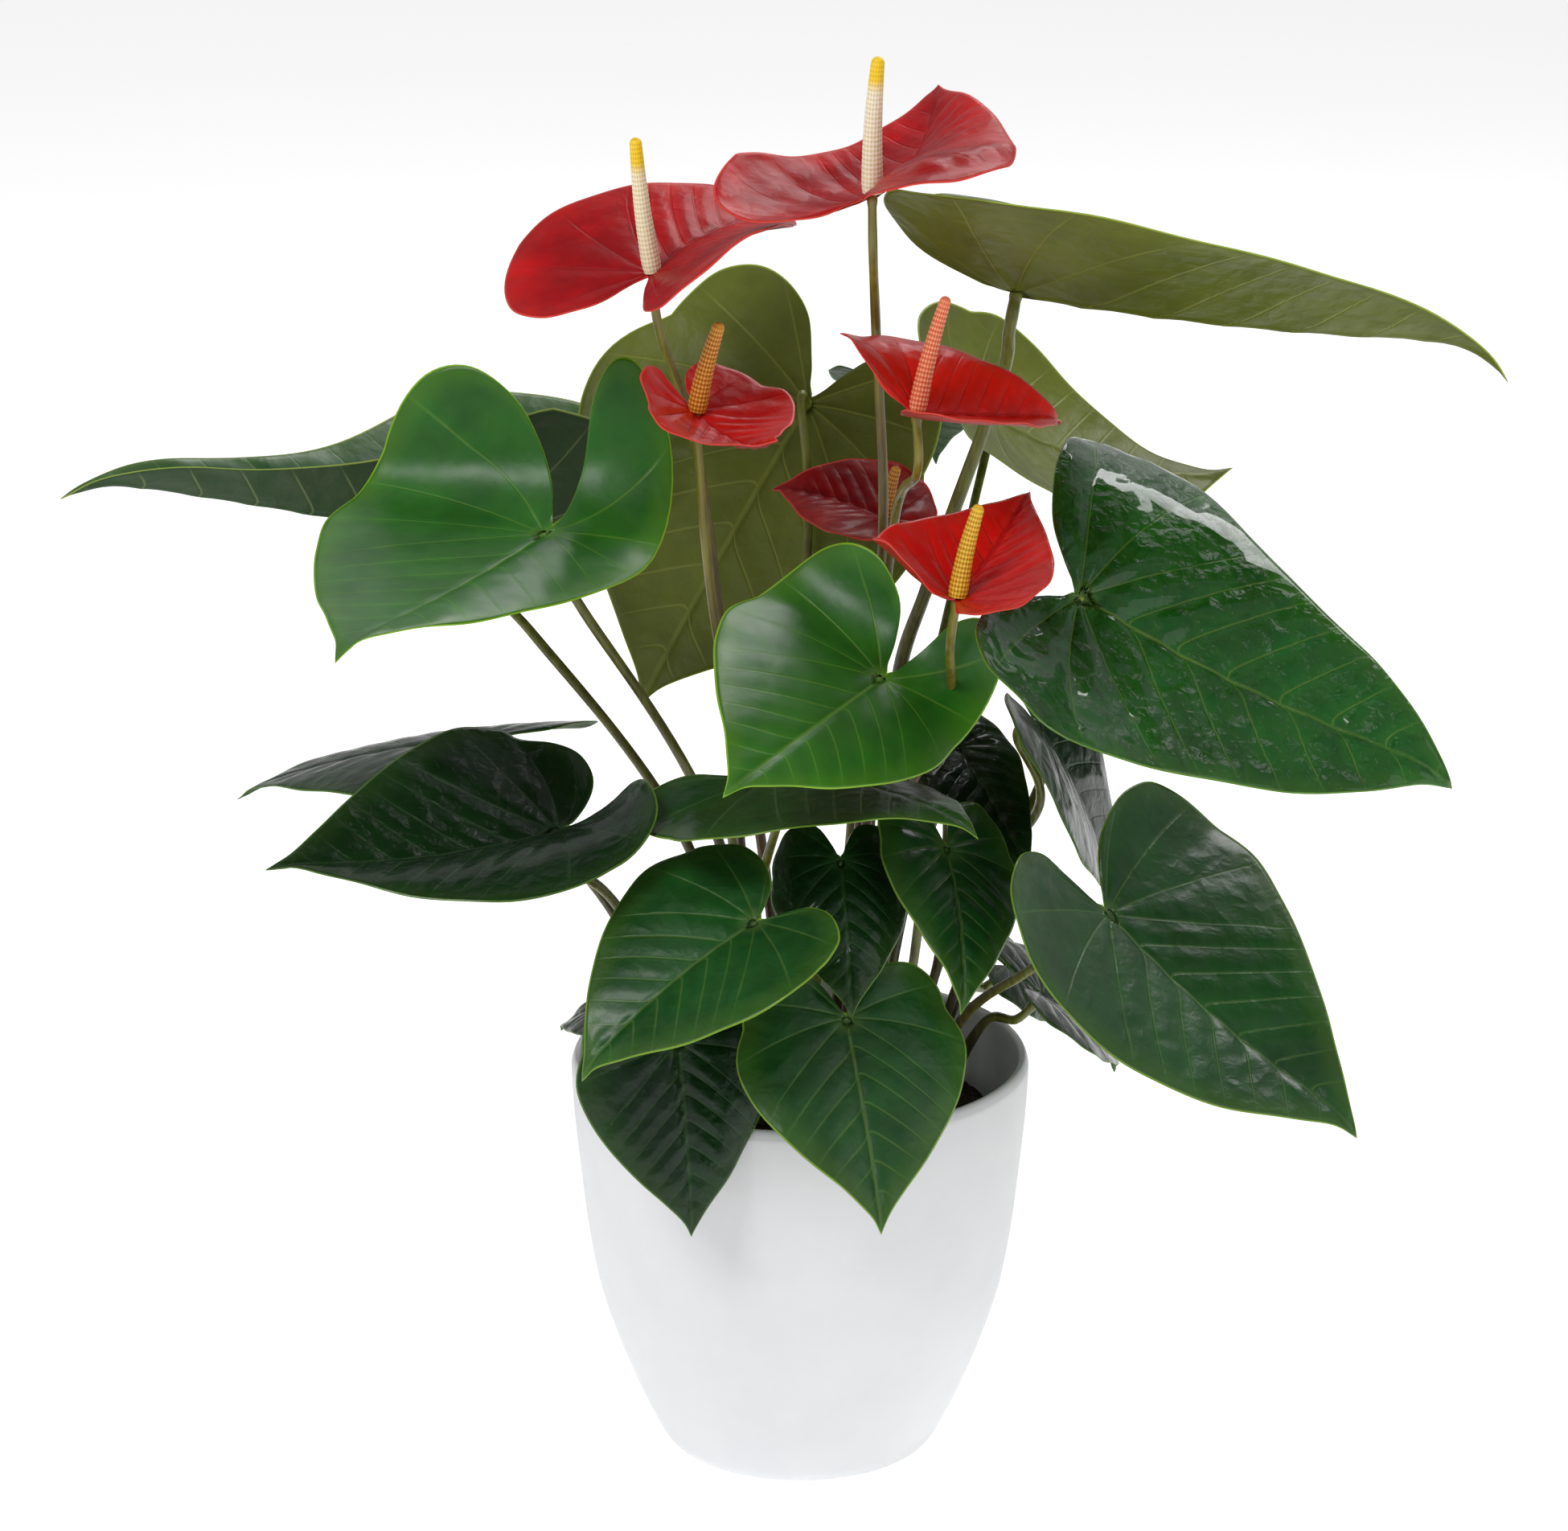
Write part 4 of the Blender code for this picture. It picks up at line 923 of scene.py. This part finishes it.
# leaves whose petioles are out of sight
hiddenLeaves = {
    "leaf_09": {  # behind leaf_08
        "look": "dark", "quilt": 0.4,
        "base": (-125, 27, 283), "tip": (-225, 60, 248), "roll": -1, "root": (-35, -3),
        "width": 1.0, "lobe": 1.0, "full": 0.1, "fold": (6, 3), "cup": (0.5, 0.7),
        "arch": 16, "curl": 10, "via": [(-74, 14, 216)],
    },
    "leaf_19": {  # back, dark
        "look": "dark", "quilt": 0.6,
        "base": (40, 92, 407), "tip": (56, 148, 363), "roll": 0, "root": (12, 26),
        "width": 0.85, "lobe": 1.15, "full": 0.1, "fold": (15, 10), "cup": (0.3, 0.5),
        "arch": 20, "curl": 12, "via": [(24, 34, 290)],
    },
    "leaf_20": {  # behind leaf_03, grey corner showing
        "look": "grey", "quilt": 0.6,
        "base": (113, 38, 302), "tip": (172, 101, 249), "roll": 23, "root": (45, 16),
        "width": 1.05, "lobe": 1.0, "full": 0.2, "fold": (12, 11), "cup": (0.5, 0.4),
        "arch": 24, "twist": 2, "curl": 10, "via": [(73, 15, 215)],
    },
    "leaf_21": {  # small, right of the pot
        "look": "dark", "quilt": 0.5,
        "base": (84, 58, 177), "tip": (107, 82, 145), "roll": 42, "root": (50, 30),
        "width": 1.0, "lobe": 1.0, "full": 0.15, "fold": (11, 10), "cup": (0.6, 0.5),
        "arch": 28, "twist": 5, "curl": 15, "via": [(64, 42, 172)],
    },
    "leaf_22": {  # narrow, under leaf_04
        "look": "dark", "quilt": 0.5,
        "base": (95, 1, 186), "tip": (127, 37, 140), "roll": 32, "root": (54, 8),
        "width": 1.0, "lobe": 1.0, "full": 0.1, "fold": (16, 14), "cup": (0.45, 0.45),
        "arch": 20, "twist": 4, "curl": 10, "via": [(72, 6, 172)],
    },
    "leaf_23": {  # behind leaf_05, only its point showing
        "look": "dark", "quilt": 0.4,
        "base": (-65, -20, 192), "tip": (-95, 10, 168), "roll": -22, "root": (-38, -12),
        "width": 1.0, "lobe": 1.0, "full": 0.1, "fold": (10, 11), "cup": (0.5, 0.5),
        "arch": 22, "twist": 3, "curl": 5, "via": [(-52, -16, 176)],
    },
}
leafSlots = {"fresh": "leaf_bright", "dark": "leaf_dark", "grey": "leaf_underside", "olive": "leaf_underside"}
skins = {label: skinMaterial("leafSkin" + label.capitalize(), look) for label, look in leafLooks.items()}
for name, leaf in leaves.items():
    blade = makeBlade(name + "_sheet", leaf, leafThick, skins[leaf["look"]])
    place(blade, leafSlots.get(leaf["look"], "leaf_green"), name + "_blade")
    hook = leaf.get("hook", 14)
    petiole = makeStem(name + "_stem", leaf, stemLooks["petiole"], petioleMaterial, stemGap, hook)
    place(petiole, "petiole", name + "_petiole")
for name, leaf in hiddenLeaves.items():
    blade = makeBlade(name + "_sheet", leaf, leafThick, skins[leaf["look"]])
    place(blade, "leaf_dark", name)
    petiole = makeStem(name + "_stem", leaf, stemLooks["petiole"], petioleMaterial, stemGap)
    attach(petiole, "root")
print("leaves done")

# floor, light and camera

studio = {
    "floor": "fafafa", "sky": (1.0, 1.0, 1.0), "skyStrength": 0.42, "skySeen": 0.6, "floorGlow": 0.45,
    "focal": 130.5, "sensor": 36,
    "eye": (-0.0063, -2.1, 0.948), "pitch": 17.63,
    "lamps": [
        {"name": "key", "place": (-1.1, -1.5, 2.1), "size": 0.9, "power": 25},
        {"name": "fill", "place": (1.7, -1.3, 1.2), "size": 1.6, "power": 6},
        {"name": "rear", "place": (0.9, 1.2, 1.9), "size": 0.9, "power": 14},
        {"name": "window", "place": (0.35, 1.7, 1.5), "size": 0.7, "power": 4},
    ],
}
floorMaterial, floorTree, floorShader = plainMaterial("paleFloor")
floorTone = blendColor(floorTree, grain(floorTree, 3.0), toLinear(studio["floor"]), toLinear("fdfdfd"))
floorTree.links.new(floorTone, floorShader.inputs["Base Color"])
floorShader.inputs["Roughness"].default_value = 0.8
floorShader.inputs["Emission Color"].default_value = (1, 1, 1, 1)
floorShader.inputs["Emission Strength"].default_value = studio["floorGlow"]
floorPoints = [(-6, -6, 0), (6, -6, 0), (6, 6, 0), (-6, 6, 0)]
floor = makeMesh("studio_floor", floorPoints, [(0, 1, 2, 3)], [], {}, floorMaterial)

world = bpy.data.worlds.new("studioSky")
world.use_nodes = True
world.node_tree.nodes["Background"].inputs["Color"].default_value = (*studio["sky"], 1)
sky = world.node_tree
cameraRay = sky.nodes.new("ShaderNodeLightPath").outputs["Is Camera Ray"]
seen = calc(sky, "ADD", calc(sky, "MULTIPLY", cameraRay, studio["skySeen"]), studio["skyStrength"])
sky.links.new(seen, sky.nodes["Background"].inputs["Strength"])
scene.world = world
for lamp in studio["lamps"]:
    light = bpy.data.lights.new(lamp["name"], "AREA")
    light.shape = "DISK"
    light.size = lamp["size"]
    light.energy = lamp["power"]
    holder = bpy.data.objects.new(lamp["name"], light)
    holder.location = lamp["place"]
    holder.rotation_euler = (Vector((0, 0, 0.3)) - Vector(lamp["place"])).to_track_quat("-Z", "Y").to_euler()
    scene.collection.objects.link(holder)
lens = bpy.data.cameras.new("lens")
lens.lens = studio["focal"]
lens.sensor_width = studio["sensor"]
camera = bpy.data.objects.new("camera", lens)
camera.location = studio["eye"]
camera.rotation_euler = (math.radians(90 - studio["pitch"]), 0, 0)
scene.collection.objects.link(camera)
scene.camera = camera
scene.view_settings.view_transform = "Standard"
print("studio done")
